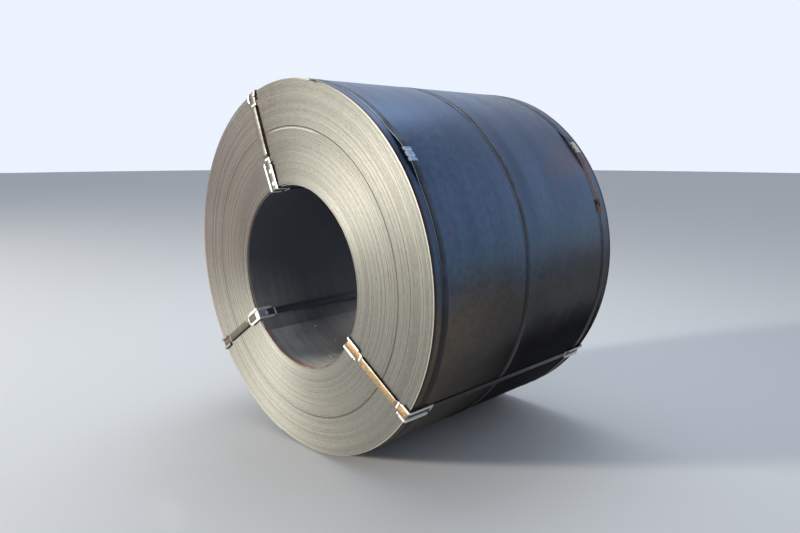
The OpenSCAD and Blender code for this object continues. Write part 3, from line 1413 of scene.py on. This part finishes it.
@dataclass
class GirthSeal:
    """A seal on a girth strap, bent to the coil's round."""

    frame: CoilFrame
    name: str
    slot: str
    finish: SheetFinish
    lift: float = 0.0
    front_highlight: Colour | None = None
    shape: SealShape = field(default_factory=SealShape)

    def build(self) -> Mesh:
        """Bends the sleeve around the strap.

        Returns:
            The seal's mesh.
        """
        node = self.frame.extents(self.name)

        def bend(along: float, across: float, height: float) -> Vector:
            """Puts a flat point onto the coil's round.

            Args:
                along: Distance from the seal's middle around the coil.
                across: Distance from its middle along the axis.
                height: Height above its underside.

            Returns:
                The point.
            """
            angle = node.angle + along / node.near
            return self.frame.place(angle, node.near + self.lift + height, node.depth + across)

        mesh = self.shape.mesh(bend, 0.0, node.far - node.near)
        finish = self.finish
        # Painted highlight on the seal's front side.
        if self.front_highlight:
            front = -node.depth - self.shape.width / 2
            finish = replace(
                finish, name=self.name + "_sheet", front_edge=front, front_highlight_tone=self.front_highlight
            )
        mesh.materials.append(finish.material())
        return mesh

    def dress(self) -> None:
        """Builds the seal and hands it over."""
        hand_over(show(self.name + "_sleeve", self.build()), self.slot, self.name)


@dataclass
class EyeStrap:
    """A strap that runs through the eye and around the strip's section."""

    frame: CoilFrame
    band: Band
    finish: StrapFinish
    dimples: Sequence[tuple[Side, Edge, float]]
    width: float = 32 * MM
    thickness: float = 0.9 * MM
    corner: float = 3.4 * MM
    lap: float = 110 * MM
    climb: float = 30 * MM
    bow: float = 7.2 * MM
    bow_climb: float = 10 * MM
    step: float = 6 * MM
    sway: float = 0.1 * MM
    twist: float = 0.03
    corner_steps: int = 6
    dimple_r: float = 10 * MM
    dimple_h: float = 2.5 * MM
    dimple_rings: int = 6
    dimple_spokes: int = 24
    dimple_tip: float = 0.001  # Share of the radius at which the dome closes flat.

    @cached_property
    def angle(self) -> float:
        """Angle of the strap's radial plane, which is its seal's."""
        return self.frame.extents(self.band.seal).angle

    def route(self) -> list[tuple[float, float, float, float]]:
        """Lays the strap's middle line in its radial plane.

        Returns:
            Points as out, depth, and the way that the strap's outer face looks.
        """
        reach = self.frame.plane_reach(self.band.strap, self.angle)
        half_t = self.thickness / 2
        low, high, top = reach.near + half_t, reach.far - half_t, reach.front - half_t
        seal = self.frame.plane_reach(self.band.seal, self.angle)
        start = (seal.near + seal.far) / 2 - self.lap / 2
        c, step = self.corner, 90 / self.corner_steps
        points = [(start, -top, 0.0, -1.0)]
        for r, d, turn in ((high, -top, -90), (high, top, 0), (low, top, 90), (low, -top, 180)):
            centre_r = r - math.copysign(c, r - start)
            centre_d = d - math.copysign(c, d)
            for i in range(self.corner_steps + 1):
                a = math.radians(turn + step * i)
                look = (math.cos(a), math.sin(a))
                points.append((centre_r + c * look[0], centre_d + c * look[1], *look))
        second = -top - self.thickness * LAYER
        points.append((start - self.climb, -top, 0.0, -1.0))
        points.append((start, second, 0.0, -1.0))
        points.append((start + self.lap, second, 0.0, -1.0))
        return points

    def build(self) -> Mesh:
        """Sweeps the strap along its route and presses its dimples.

        Returns:
            The strap's mesh.
        """
        angle = self.angle
        across = Vector((-math.sin(angle), 0.0, math.cos(angle)))
        wobble = random.Random(self.band.strap)
        path = []
        route = self.route()
        run_start = self.frame.plane_reach(self.band.guard(Side.FRONT, Edge.INNER), angle).far
        run_end = self.frame.plane_reach(self.band.guard(Side.FRONT, Edge.OUTER), angle).near
        for first, second in zip(route, route[1:] + route[-1:]):
            gap = math.dist(first[:2], second[:2])
            parts = max(1, round(gap / self.step))
            for i in range(parts):
                here = (a + (b - a) * i / parts for a, b in zip(first, second))
                out, depth, look_out, look_depth = here
                aside = wobble.uniform(-self.sway, self.sway) if parts > 1 else 0.0
                if depth > self.frame.half:
                    depth += self.bow * eased(min(out - run_start, run_end - out) / self.bow_climb)
                look = Vector((look_out * math.cos(angle), -look_depth, look_out * math.sin(angle)))
                look = (look + across * wobble.uniform(-self.twist, self.twist)).normalized()
                path.append((self.frame.place(angle, out, depth, aside), look))
        material = self.finish.material()
        band = BandStock(self.width, self.thickness).sweep(path, material)
        bare = SheetFinish("worn_dimple", self.frame.axis_z, stain_share=0.0).material()
        return joined([band] + [self._dimple(side, edge, at, bare) for side, edge, at in self.dimples])

    def _dimple(
        self, side: Side, edge: Edge, at: float, material: bpy.types.Material
    ) -> Mesh:
        """Makes one round dimple that stands on the strap's face.

        Args:
            side: The end that the dimple is at.
            edge: The edge of the section that it is near.
            at: Distance from that edge along the end, or below zero along the wall.
            material: The dimple's finish, worn bare.

        Returns:
            A closed dome.
        """
        reach = self.frame.plane_reach(self.band.strap, self.angle)
        sign = edge.value
        if at >= 0:
            corner = self.frame.outer_r if edge is Edge.OUTER else self.frame.bore_r
            out, depth, look = corner - sign * at, side.value * reach.front, (0.0, side.value)
        else:
            wall = reach.far if edge is Edge.OUTER else reach.near
            out, depth, look = wall, side.value * (self.frame.half + at), (sign, 0.0)
        rows, rings, spokes = [], self.dimple_rings, self.dimple_spokes
        for i in range(rings + 1):
            share = 1 - i / rings
            lift = self.dimple_h * (0.5 + 0.5 * math.cos(math.pi * share)) if i else -self.thickness / 2
            row = []
            for j in range(spokes):
                a = math.tau * j / spokes
                r = self.dimple_r * max(share, self.dimple_tip)
                u, v = r * math.cos(a), r * math.sin(a)
                along_out = out + look[0] * lift + (v if look[0] == 0 else 0.0)
                along_depth = depth + look[1] * lift + (v if look[1] == 0 else 0.0)
                row.append(self.frame.place(self.angle, along_out, along_depth, u))
            rows.append(row)
        mesh = from_grid(rows, ring=True)
        with editing(mesh) as work:
            rims = [e for e in work.edges if e.is_boundary]
            bmesh.ops.contextual_create(work, geom=rims[:spokes])
            rims = [e for e in work.edges if e.is_boundary]
            bmesh.ops.holes_fill(work, edges=rims, sides=spokes)
            bmesh.ops.recalc_face_normals(work, faces=work.faces)
        mesh.materials.append(material)
        smooth(mesh, 60.0)
        return mesh

    def dress(self) -> None:
        """Builds the strap and hands it over."""
        hand_over(show(self.band.strap + "_band", self.build()), "eye_strapping", self.band.strap)


@dataclass
class EyeSeal:
    """A seal on an eye strap, on the coil's rear end."""

    frame: CoilFrame
    band: Band
    finish: SheetFinish
    shape: SealShape = field(default_factory=SealShape)

    def build(self) -> Mesh:
        """Makes the sleeve around the strap's two layers.

        Returns:
            The seal's mesh.
        """
        angle = self.frame.extents(self.band.seal).angle
        node = self.frame.plane_reach(self.band.seal, angle)
        middle = (node.near + node.far) / 2

        def bend(along: float, across: float, height: float) -> Vector:
            """Puts a flat point onto the coil's rear end."""
            return self.frame.place(angle, middle + along, node.front - height, across)

        mesh = self.shape.mesh(bend, 0.0, node.front - node.back)
        mesh.materials.append(self.finish.material())
        return mesh

    def dress(self) -> None:
        """Builds the seal and hands it over."""
        hand_over(show(self.band.seal + "_sleeve", self.build()), "bright_seal", self.band.seal)


# ---- Edge guards ----


@dataclass
class EdgeGuard:
    """A sheet channel bent over an edge of the coil's section, under an eye strap."""

    frame: CoilFrame
    band: Band
    side: Side
    edge: Edge
    finish: SheetFinish
    wall_rim: float = 1.0
    width: float = 56 * MM
    sheet: float = 1.6 * MM
    bend_r: float = 1 * MM
    rim_h: float = 9 * MM
    rim_play: float = 0.8 * MM
    rim_fade: float = 14 * MM
    lip_drop: float = 2.4 * MM
    lip_start: float = 0.9 * MM
    wall_lean: float = 0.3 * MM
    foot_height: float = 1.0 * MM
    foot_run: float = 0.5 * MM
    tab_w: float = 35.6 * MM
    tab_length: float = 18 * MM
    tab_slant: float = 6 * MM
    tab_root: float = 0.35  # Share of the rim's width that is left where a tab starts.
    hoop_w: float = 8 * MM
    hoop_rise: float = 3.9 * MM
    hoop_corner: float = 2.2 * MM
    hoop_foot: float = 0.3 * MM
    hoop_sheet: float = 1.44 * MM
    hoop_rounding: float = 0.35 * MM
    hoop_steps: int = 5
    notch_at: float = 24 * MM
    notch_length: float = 9 * MM
    notch_slope: float = 1.5 * MM
    least_step: float = 0.15 * MM
    bend_steps: int = 8
    broken_edge: float = 0.3 * MM
    broken_from_deg: float = 50.0
    face_leg: float = field(init=False)
    length: float = field(init=False)

    @property
    def node(self) -> str:
        """The CAD node's name."""
        return self.band.guard(self.side, self.edge)

    def build(self) -> Mesh:
        """Makes the channel, its hoops and their finish.

        Returns:
            The guard's mesh.
        """
        angle = self.frame.extents(self.band.seal).angle
        node = self.frame.plane_reach(self.node, angle)
        legs = self._legs(node)
        material = self.finish.material()

        def bend(s: float, across: float, height: float) -> Vector:
            """Folds a flat point over the coil's edge.

            Args:
                s: Distance along the flat sheet from the tip on the coil's end.
                across: Distance from the sheet's middle across the strap.
                height: Height above the seat.

            Returns:
                The point.
            """
            out, depth = legs(s, height)
            return self.frame.place(angle, out, depth, across)

        channel = self._channel(bend)
        channel.materials.append(material)
        places = (self.hoop_w / 2, self.length - self.hoop_w / 2)
        hoops = [self._hoop(bend, s, material) for s in places]
        return joined([channel] + hoops)

    def _legs(self, node: Extents) -> Callable[[float, float], tuple[float, float]]:
        """Measures the guard's two legs off its CAD node, and keeps their lengths.

        Args:
            node: The CAD node's reach.

        Returns:
            A function from a distance along the flat sheet and a height above the seat to out and depth.
        """
        sign, end = self.edge.value, self.side.value
        top = self.sheet + self.rim_h
        tip = node.near if self.edge is Edge.OUTER else node.far
        wall = (node.far - top) if self.edge is Edge.OUTER else (node.near + top)
        if end > 0:
            face, wall_tip = node.front - top, node.back
        else:
            face, wall_tip = -(node.back + top), -node.front
        middle_r = self.bend_r + self.sheet / 2
        arc = math.pi / 2 * middle_r
        centre_out, centre_depth = wall - sign * self.bend_r, face - self.bend_r
        first = abs(centre_out - tip)
        self.face_leg = first
        self.length = first + arc + (centre_depth - wall_tip)

        def legs(s: float, height: float) -> tuple[float, float]:
            """Finds a place on the folded sheet.

            Args:
                s: Distance along the flat sheet.
                height: Height above the seat.

            Returns:
                Its out and depth.
            """
            if s <= first:
                return tip + sign * s, end * (face + height)
            turn = min(1.0, (s - first) / arc) * math.pi / 2
            out = centre_out + sign * (self.bend_r + height) * math.sin(turn)
            depth = centre_depth + (self.bend_r + height) * math.cos(turn)
            return out, end * (depth - max(0.0, s - first - arc))

        return legs

    def _section(self) -> list[tuple[float, float]]:
        """Draws the channel's middle surface: a groove for the strap between two flat-topped rims.

        Returns:
            Points as distance across and height, from one side to the other.
        """
        half, wall = self.width / 2 - self.sheet / 2, self.tab_w / 2 - self.sheet / 2
        low, top = self.sheet / 2, self.sheet / 2 + self.rim_h - self.rim_play
        side = [
            (half, top - self.lip_drop),
            (half, top),
            (wall + self.lip_start, top),
            (wall + self.wall_lean, top - self.lip_start),
            (wall, low + self.foot_height),
            (wall - self.foot_run, low),
            (self.width / 4, low),
        ]
        left = [(-x, y) for x, y in side]
        return left + [(0.0, low)] + side[::-1]

    def _stations(self) -> list[float]:
        """Lists the places along the flat sheet where it changes.

        Returns:
            Distances from the tip on the coil's end, in order.
        """
        start, end = self.notch_at, self.notch_at + self.notch_length
        arc = math.pi / 2 * (self.bend_r + self.sheet / 2)
        tab, slant = self.tab_length, self.tab_slant
        marks = {0.0, tab, tab + slant, self.length - tab - slant, self.length - tab, self.length}
        marks |= {start, start + self.notch_slope, end - self.notch_slope, end}
        marks |= {self.face_leg + arc * i / self.bend_steps for i in range(self.bend_steps + 1)}
        ordered = sorted(marks)
        return [s for i, s in enumerate(ordered) if i == 0 or s - ordered[i - 1] > self.least_step]

    def _channel(self, bend: Bend) -> Mesh:
        """Folds the channel, with tabs at its ends and a notch in one rim.

        Args:
            bend: Folds a flat point over the coil's edge.

        Returns:
            A closed sheet.
        """
        section, stations = self._section(), self._stations()
        columns = len(section)
        tab_left = next(i for i, (_, y) in enumerate(section) if y == self.sheet / 2)
        tab_right = columns - 1 - tab_left
        low_end, high_end = self.tab_length, self.length - self.tab_length
        n0, n1 = self.notch_at, self.notch_at + self.notch_length
        lip_root = self.tab_w / 2 + self.lip_start
        points: dict[tuple[int, int], int] = {}
        coords, faces = [], []

        def vertex(i: int, j: int) -> int:
            """Gives the number of a point of the sheet, and makes the point when first asked.

            Args:
                i: The point's station.
                j: Its column of the section.

            Returns:
                Its number.
            """
            if (i, j) not in points:
                s, (x, y) = stations[i], section[j]
                end_gap = min(s - low_end, high_end - s)
                fade = min(1.0, max(0.0, 1 + (s - self.face_leg) / self.rim_fade))
                y = min(y, self.sheet) + max(0.0, y - self.sheet) * (1 - fade * (1 - self.wall_rim))
                in_notch = j < 2 and n0 + MERGE_DISTANCE < s < n1 - MERGE_DISTANCE
                if j in (0, 1, columns - 2, columns - 1):
                    slant = self.tab_root + (1 - self.tab_root) * max(0.0, end_gap) / self.tab_slant
                    full = 0.0 if in_notch else min(1.0, slant)
                    x = math.copysign(lip_root + full * (abs(x) - lip_root), x)
                points[i, j] = len(coords)
                coords.append(bend(s, x, y))
            return points[i, j]

        for i in range(len(stations) - 1):
            middle = (stations[i] + stations[i + 1]) / 2
            in_tab = middle < low_end or middle > high_end
            for j in range(columns - 1):
                if in_tab and not tab_left <= j < tab_right:
                    continue
                faces.append((vertex(i, j), vertex(i, j + 1), vertex(i + 1, j + 1), vertex(i + 1, j)))
        mesh = bpy.data.meshes.new("channel")
        mesh.from_pydata(coords, [], faces)
        with editing(mesh) as work:
            bmesh.ops.dissolve_degenerate(work, dist=MERGE_DISTANCE, edges=work.edges)
            bmesh.ops.recalc_face_normals(work, faces=work.faces)
        return self._thickened(mesh)

    def _thickened(self, mesh: Mesh) -> Mesh:
        """Gives the folded sheet its thickness and breaks its edges.

        Args:
            mesh: The sheet's middle surface.

        Returns:
            The closed sheet.
        """
        carrier = in_scene("channel", mesh)
        solidify = carrier.modifiers.new("Sheet", "SOLIDIFY")
        solidify.thickness, solidify.offset, solidify.use_even_offset = self.sheet, 0.0, True
        bevel = carrier.modifiers.new("Broken edges", "BEVEL")
        bevel.width, bevel.segments, bevel.limit_method = self.broken_edge, 2, "ANGLE"
        bevel.angle_limit = math.radians(self.broken_from_deg)
        made = evaluated_mesh(carrier)
        bpy.data.objects.remove(carrier)
        face_outwards(made)
        smooth(made, 32.0)
        return made

    def _hoop(self, bend: Bend, s: float, material: bpy.types.Material) -> Mesh:
        """Raises the hoop that holds the strap on a tab.

        Args:
            bend: Folds a flat point over the coil's edge.
            s: The hoop's middle along the flat sheet.
            material: The guard's finish.

        Returns:
            The hoop's mesh.
        """
        half, low, high = self.tab_w / 2 - self.sheet / 2, self.sheet / 2, self.hoop_rise
        r, foot = self.hoop_corner, low - self.hoop_foot
        outline = [(-half, foot, -1.0, 0.0), (-half, high - r, -1.0, 0.0)]
        for sign in (-1, 1):
            for i in range(1, self.hoop_steps + 1):
                a = math.pi / 2 * i / self.hoop_steps
                t = a if sign < 0 else math.pi / 2 - a
                x, y = half - r + r * math.cos(t), high - r + r * math.sin(t)
                outline.append((sign * x, y, sign * math.cos(t), math.sin(t)))
        outline += [(half, high - r, 1.0, 0.0), (half, foot, 1.0, 0.0)]
        path = []
        for x, y, look_x, look_y in outline:
            here = bend(s, x, y)
            path.append((here, (bend(s, x + look_x * MM, y + look_y * MM) - here).normalized()))
        return BandStock(self.hoop_w, self.hoop_sheet, self.hoop_rounding).sweep(path, material)

    def dress(self) -> None:
        """Builds the guard and hands it over."""
        hand_over(show(self.node + "_channel", self.build()), "guard_steel", self.node)


# ---- Studio ----


@dataclass
class Studio:
    """The pale floor, the soft lights and the camera.

    The camera's distance and height are in outer radii of the coil.
    """

    frame: CoilFrame
    distance: float = 3.950
    azimuth_deg: float = 45.38
    height: float = 1.673
    pitch_deg: float = -18.31
    lens: float = 28.66
    shift: tuple[float, float] = (0.0009, 0.1156)
    floor_r: float = 40.0
    bright_side: tuple[float, float, float] = (-0.55, 0.835, 0.0)
    bright_wall: Colour = (0.84, 0.90, 1.0)
    dim_wall: Colour = (0.20, 0.23, 0.28)
    eye_spot_way: tuple[float, float, float] = (-0.08, 1.0, 0.74)
    eye_spot_distance: float = 2.6

    def floor(self) -> None:
        """Lays a wide, plain floor."""
        mesh = bpy.data.meshes.new("floor")
        with editing(mesh) as work:
            bmesh.ops.create_circle(work, cap_ends=True, segments=96, radius=self.floor_r)
        material = bpy.data.materials.new("floor_paint")
        material.use_nodes = True
        shader = material.node_tree.nodes["Principled BSDF"]
        shader.inputs["Base Color"].default_value = (0.90, 0.90, 0.89, 1.0)
        shader.inputs["Roughness"].default_value = 0.85
        shader.inputs["Specular IOR Level"].default_value = 0.2
        mesh.materials.append(material)
        show("floor", mesh)

    def light(
        self,
        name: str,
        towards: Sequence[float],
        distance: float,
        size: float,
        power: float,
        colour: Colour,
    ) -> None:
        """Hangs a square soft light that looks at the coil.

        Args:
            name: The light's name.
            towards: The way from the coil's middle to the light.
            distance: How far away it hangs.
            size: Its side.
            power: Its power in watts.
            colour: Its colour.
        """
        data = bpy.data.lights.new(name, "AREA")
        data.energy, data.size, data.color = power, size, colour
        middle = Vector((0.0, 0.0, self.frame.axis_z))
        self._hang(in_scene(name, data), middle, Vector(towards).normalized(), distance)

    @staticmethod
    def _hang(lamp: bpy.types.Object, target: Vector, way: Vector, distance: float) -> None:
        """Hangs a lamp off a point and turns it to look there.

        Args:
            lamp: The lamp.
            target: The point.
            way: The way from the point to the lamp, of length 1.
            distance: How far away it hangs.
        """
        lamp.location = target + way * distance
        lamp.rotation_euler = way.to_track_quat("Z", "Y").to_euler()

    def lights(self) -> None:
        """Sets the key from the front left, the top box, the spot in the eye and the surroundings."""
        self.light(
            "key", (-0.546, -0.831, 0.104), distance=14.0, size=1.2, power=2500.0,
            colour=(1.0, 0.95, 0.86),
        )
        self.light(
            "top", (-0.2, 0.25, 1.0), distance=4.5, size=3.0, power=70.0,
            colour=(0.80, 0.89, 1.0),
        )
        self.eye_light()
        world = bpy.data.worlds.new("surroundings")
        bpy.context.scene.world = world
        world.use_nodes = True
        w = Wiring(world.node_tree)
        way = w.add("ShaderNodeTexCoord").outputs["Generated"]
        towards = w.add("ShaderNodeVectorMath", {0: way, 1: self.bright_side}, operation="DOT_PRODUCT")
        brighter = w.span(towards.outputs["Value"], -0.25, 0.72)
        pale = w.mix(brighter, self.dim_wall, self.bright_wall)
        height = w.add("ShaderNodeSeparateXYZ", {0: way}).outputs["Z"]
        pale = w.mix(w.span(height, 0.42, 0.75, 0.0, 0.75), pale, self.dim_wall)
        sky = world.node_tree.nodes["Background"]
        w.plug(sky.inputs["Color"], pale)
        sky.inputs["Strength"].default_value = 1.0

    def eye_light(self) -> None:
        """Shines a dim, soft spot through the eye from behind onto its floor."""
        data = bpy.data.lights.new("eye_spot", "SPOT")
        data.energy, data.color, data.shadow_soft_size = 260.0, (1.0, 0.97, 0.96), 0.10
        data.spot_size, data.spot_blend = math.radians(14.0), 0.7
        opening = Vector((0.0, self.frame.half, self.frame.axis_z))
        way = Vector(self.eye_spot_way).normalized()
        self._hang(in_scene("eye_spot", data), opening, way, self.eye_spot_distance)

    def camera(self) -> None:
        """Places the camera off the front end's right, above the coil, and looks down at it."""
        data = bpy.data.cameras.new("camera")
        data.sensor_width, data.lens = 36.0, self.lens
        data.shift_x, data.shift_y = self.shift
        data.clip_start, data.clip_end = 0.05, 200.0
        obj = in_scene("camera", data)
        r, turn = self.frame.outer_r, math.radians(self.azimuth_deg)
        away = self.distance * r
        lift = self.frame.axis_z - r
        obj.location = (away * math.sin(turn), -away * math.cos(turn), self.height * r + lift)
        obj.rotation_euler = (math.pi / 2 + math.radians(self.pitch_deg), 0.0, turn)
        bpy.context.scene.camera = obj

    def dress(self) -> None:
        """Sets the stage."""
        self.floor()
        self.lights()
        self.camera()
        bpy.context.scene.view_settings.view_transform = "Standard"


def bands(frame: CoilFrame) -> list[EyeStrap]:
    """Lists the eye straps with their finishes and dimples.

    Args:
        frame: The coil's frame.

    Returns:
        The three straps.
    """
    # Painted shade colour for the eye straps where they run along the coil's walls.
    dark = (0.045, 0.040, 0.035)
    olive = StrapFinish(
        "olive_strap",
        frame,
        coat=(0.100, 0.094, 0.068),
        second=(0.078, 0.073, 0.053),
        rust=(0.16, 0.10, 0.05),
        rust_share=0.15,
        metallic=0.35,
        shaded=dark,
    )
    brown = replace(
        olive,
        name="brown_strap",
        coat=(0.112, 0.088, 0.068),
        second=(0.080, 0.062, 0.047),
        rust=(0.13, 0.07, 0.04),
        rust_share=0.35,
        # Worn bare near the eye's corner, partly painted reflection.
        bare_within=frame.bore_r + 28 * MM,
    )
    amber = replace(
        olive,
        name="amber_strap",
        coat=(0.285, 0.215, 0.118),
        second=(0.220, 0.165, 0.090),
        rust=(0.50, 0.265, 0.105),
        rust_share=0.62,
        # Partly wear, partly painted highlight on one edge.
        worn=(0.72, 0.62, 0.50),
        edge_wear_and_highlight=0.8,
        wear_and_highlight_from=0.70,
    )
    upper = [(side, Edge.INNER, at * MM) for side in Side for at in (74.5, 23.0)]
    left = [(side, Edge.INNER, at * MM) for side in Side for at in (14.0, -40.0)]
    return [
        EyeStrap(frame, Band.UPPER, olive, upper),
        EyeStrap(frame, Band.LEFT, brown, left),
        EyeStrap(frame, Band.RIGHT, amber, []),
    ]


def main() -> None:
    """Builds the whole scene around the CAD frame."""
    logging.basicConfig(level=logging.INFO, format="%(name)s %(message)s")
    frame = CoilFrame.read(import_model())
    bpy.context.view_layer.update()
    Studio(frame).dress()
    WoundStrip(frame).dress()
    blued = StrapFinish(
        "blued_strap",
        frame,
        coat=(0.046, 0.064, 0.108),
        second=(0.034, 0.044, 0.070),
        rust=(0.26, 0.115, 0.085),
        rust_share=0.08,
        # Partly wear, partly painted highlight on one edge, fading towards the floor.
        edge_wear_and_highlight=0.9,
        highlight_side=-1.0,
        wear_and_highlight_from=0.76,
        # Painted shade towards the floor.
        low=(0.030, 0.019, 0.016),
    )
    rusting = replace(blued, name="blued_strap_rusting", rusty_at_deg=31.0)
    GirthStrap(frame, "girth_strap_front", blued, seal="girth_seal_front").dress()
    GirthStrap(frame, "girth_strap_middle", blued).dress()
    GirthStrap(frame, "girth_strap_rear", rusting, seal="girth_seal_rear").dress()
    zinc = SheetFinish("bright_zinc_sheet", frame.axis_z)
    blue_zinc = replace(
        zinc,
        name="blue_zinc_sheet",
        bright=(0.50, 0.68, 0.98),
        dull=(0.34, 0.50, 0.82),
        metallic=0.45,
        roughness=0.34,
    )
    rusted = replace(
        zinc,
        name="rusted_sheet",
        bright=(0.44, 0.20, 0.11),
        dull=(0.16, 0.070, 0.040),
        stain=(0.03, 0.018, 0.014),
        stain_share=0.9,
        metallic=0.15,
        roughness=0.62,
    )
    grimy = replace(
        zinc,
        name="grimy_zinc_sheet",
        bright=(0.34, 0.32, 0.26),
        dull=(0.22, 0.20, 0.16),
        stain=(0.22, 0.12, 0.07),
        stain_share=0.5,
    )
    lift = GirthStrap.lift
    # Painted highlight colours for the seals' front sides.
    white, tan = (0.96, 0.96, 0.98), (0.62, 0.44, 0.20)
    GirthSeal(frame, "girth_seal_front", "bright_seal", blue_zinc, lift, white).dress()
    GirthSeal(frame, "girth_seal_rear", "bright_seal", zinc, lift, tan).dress()
    GirthSeal(frame, "girth_seal_rear_old", "rusty_seal", rusted).dress()
    for strap in bands(frame):
        strap.dress()
        EyeSeal(frame, strap.band, zinc).dress()
        for side in Side:
            for edge in Edge:
                wall_rim = 0.3 if strap.band is Band.UPPER else 1.0
                soiled = (strap.band, side, edge) == (Band.LEFT, Side.FRONT, Edge.OUTER)
                sheet = grimy if soiled else zinc
                EdgeGuard(frame, strap.band, side, edge, sheet, wall_rim).dress()


if __name__ == "__main__":
    main()
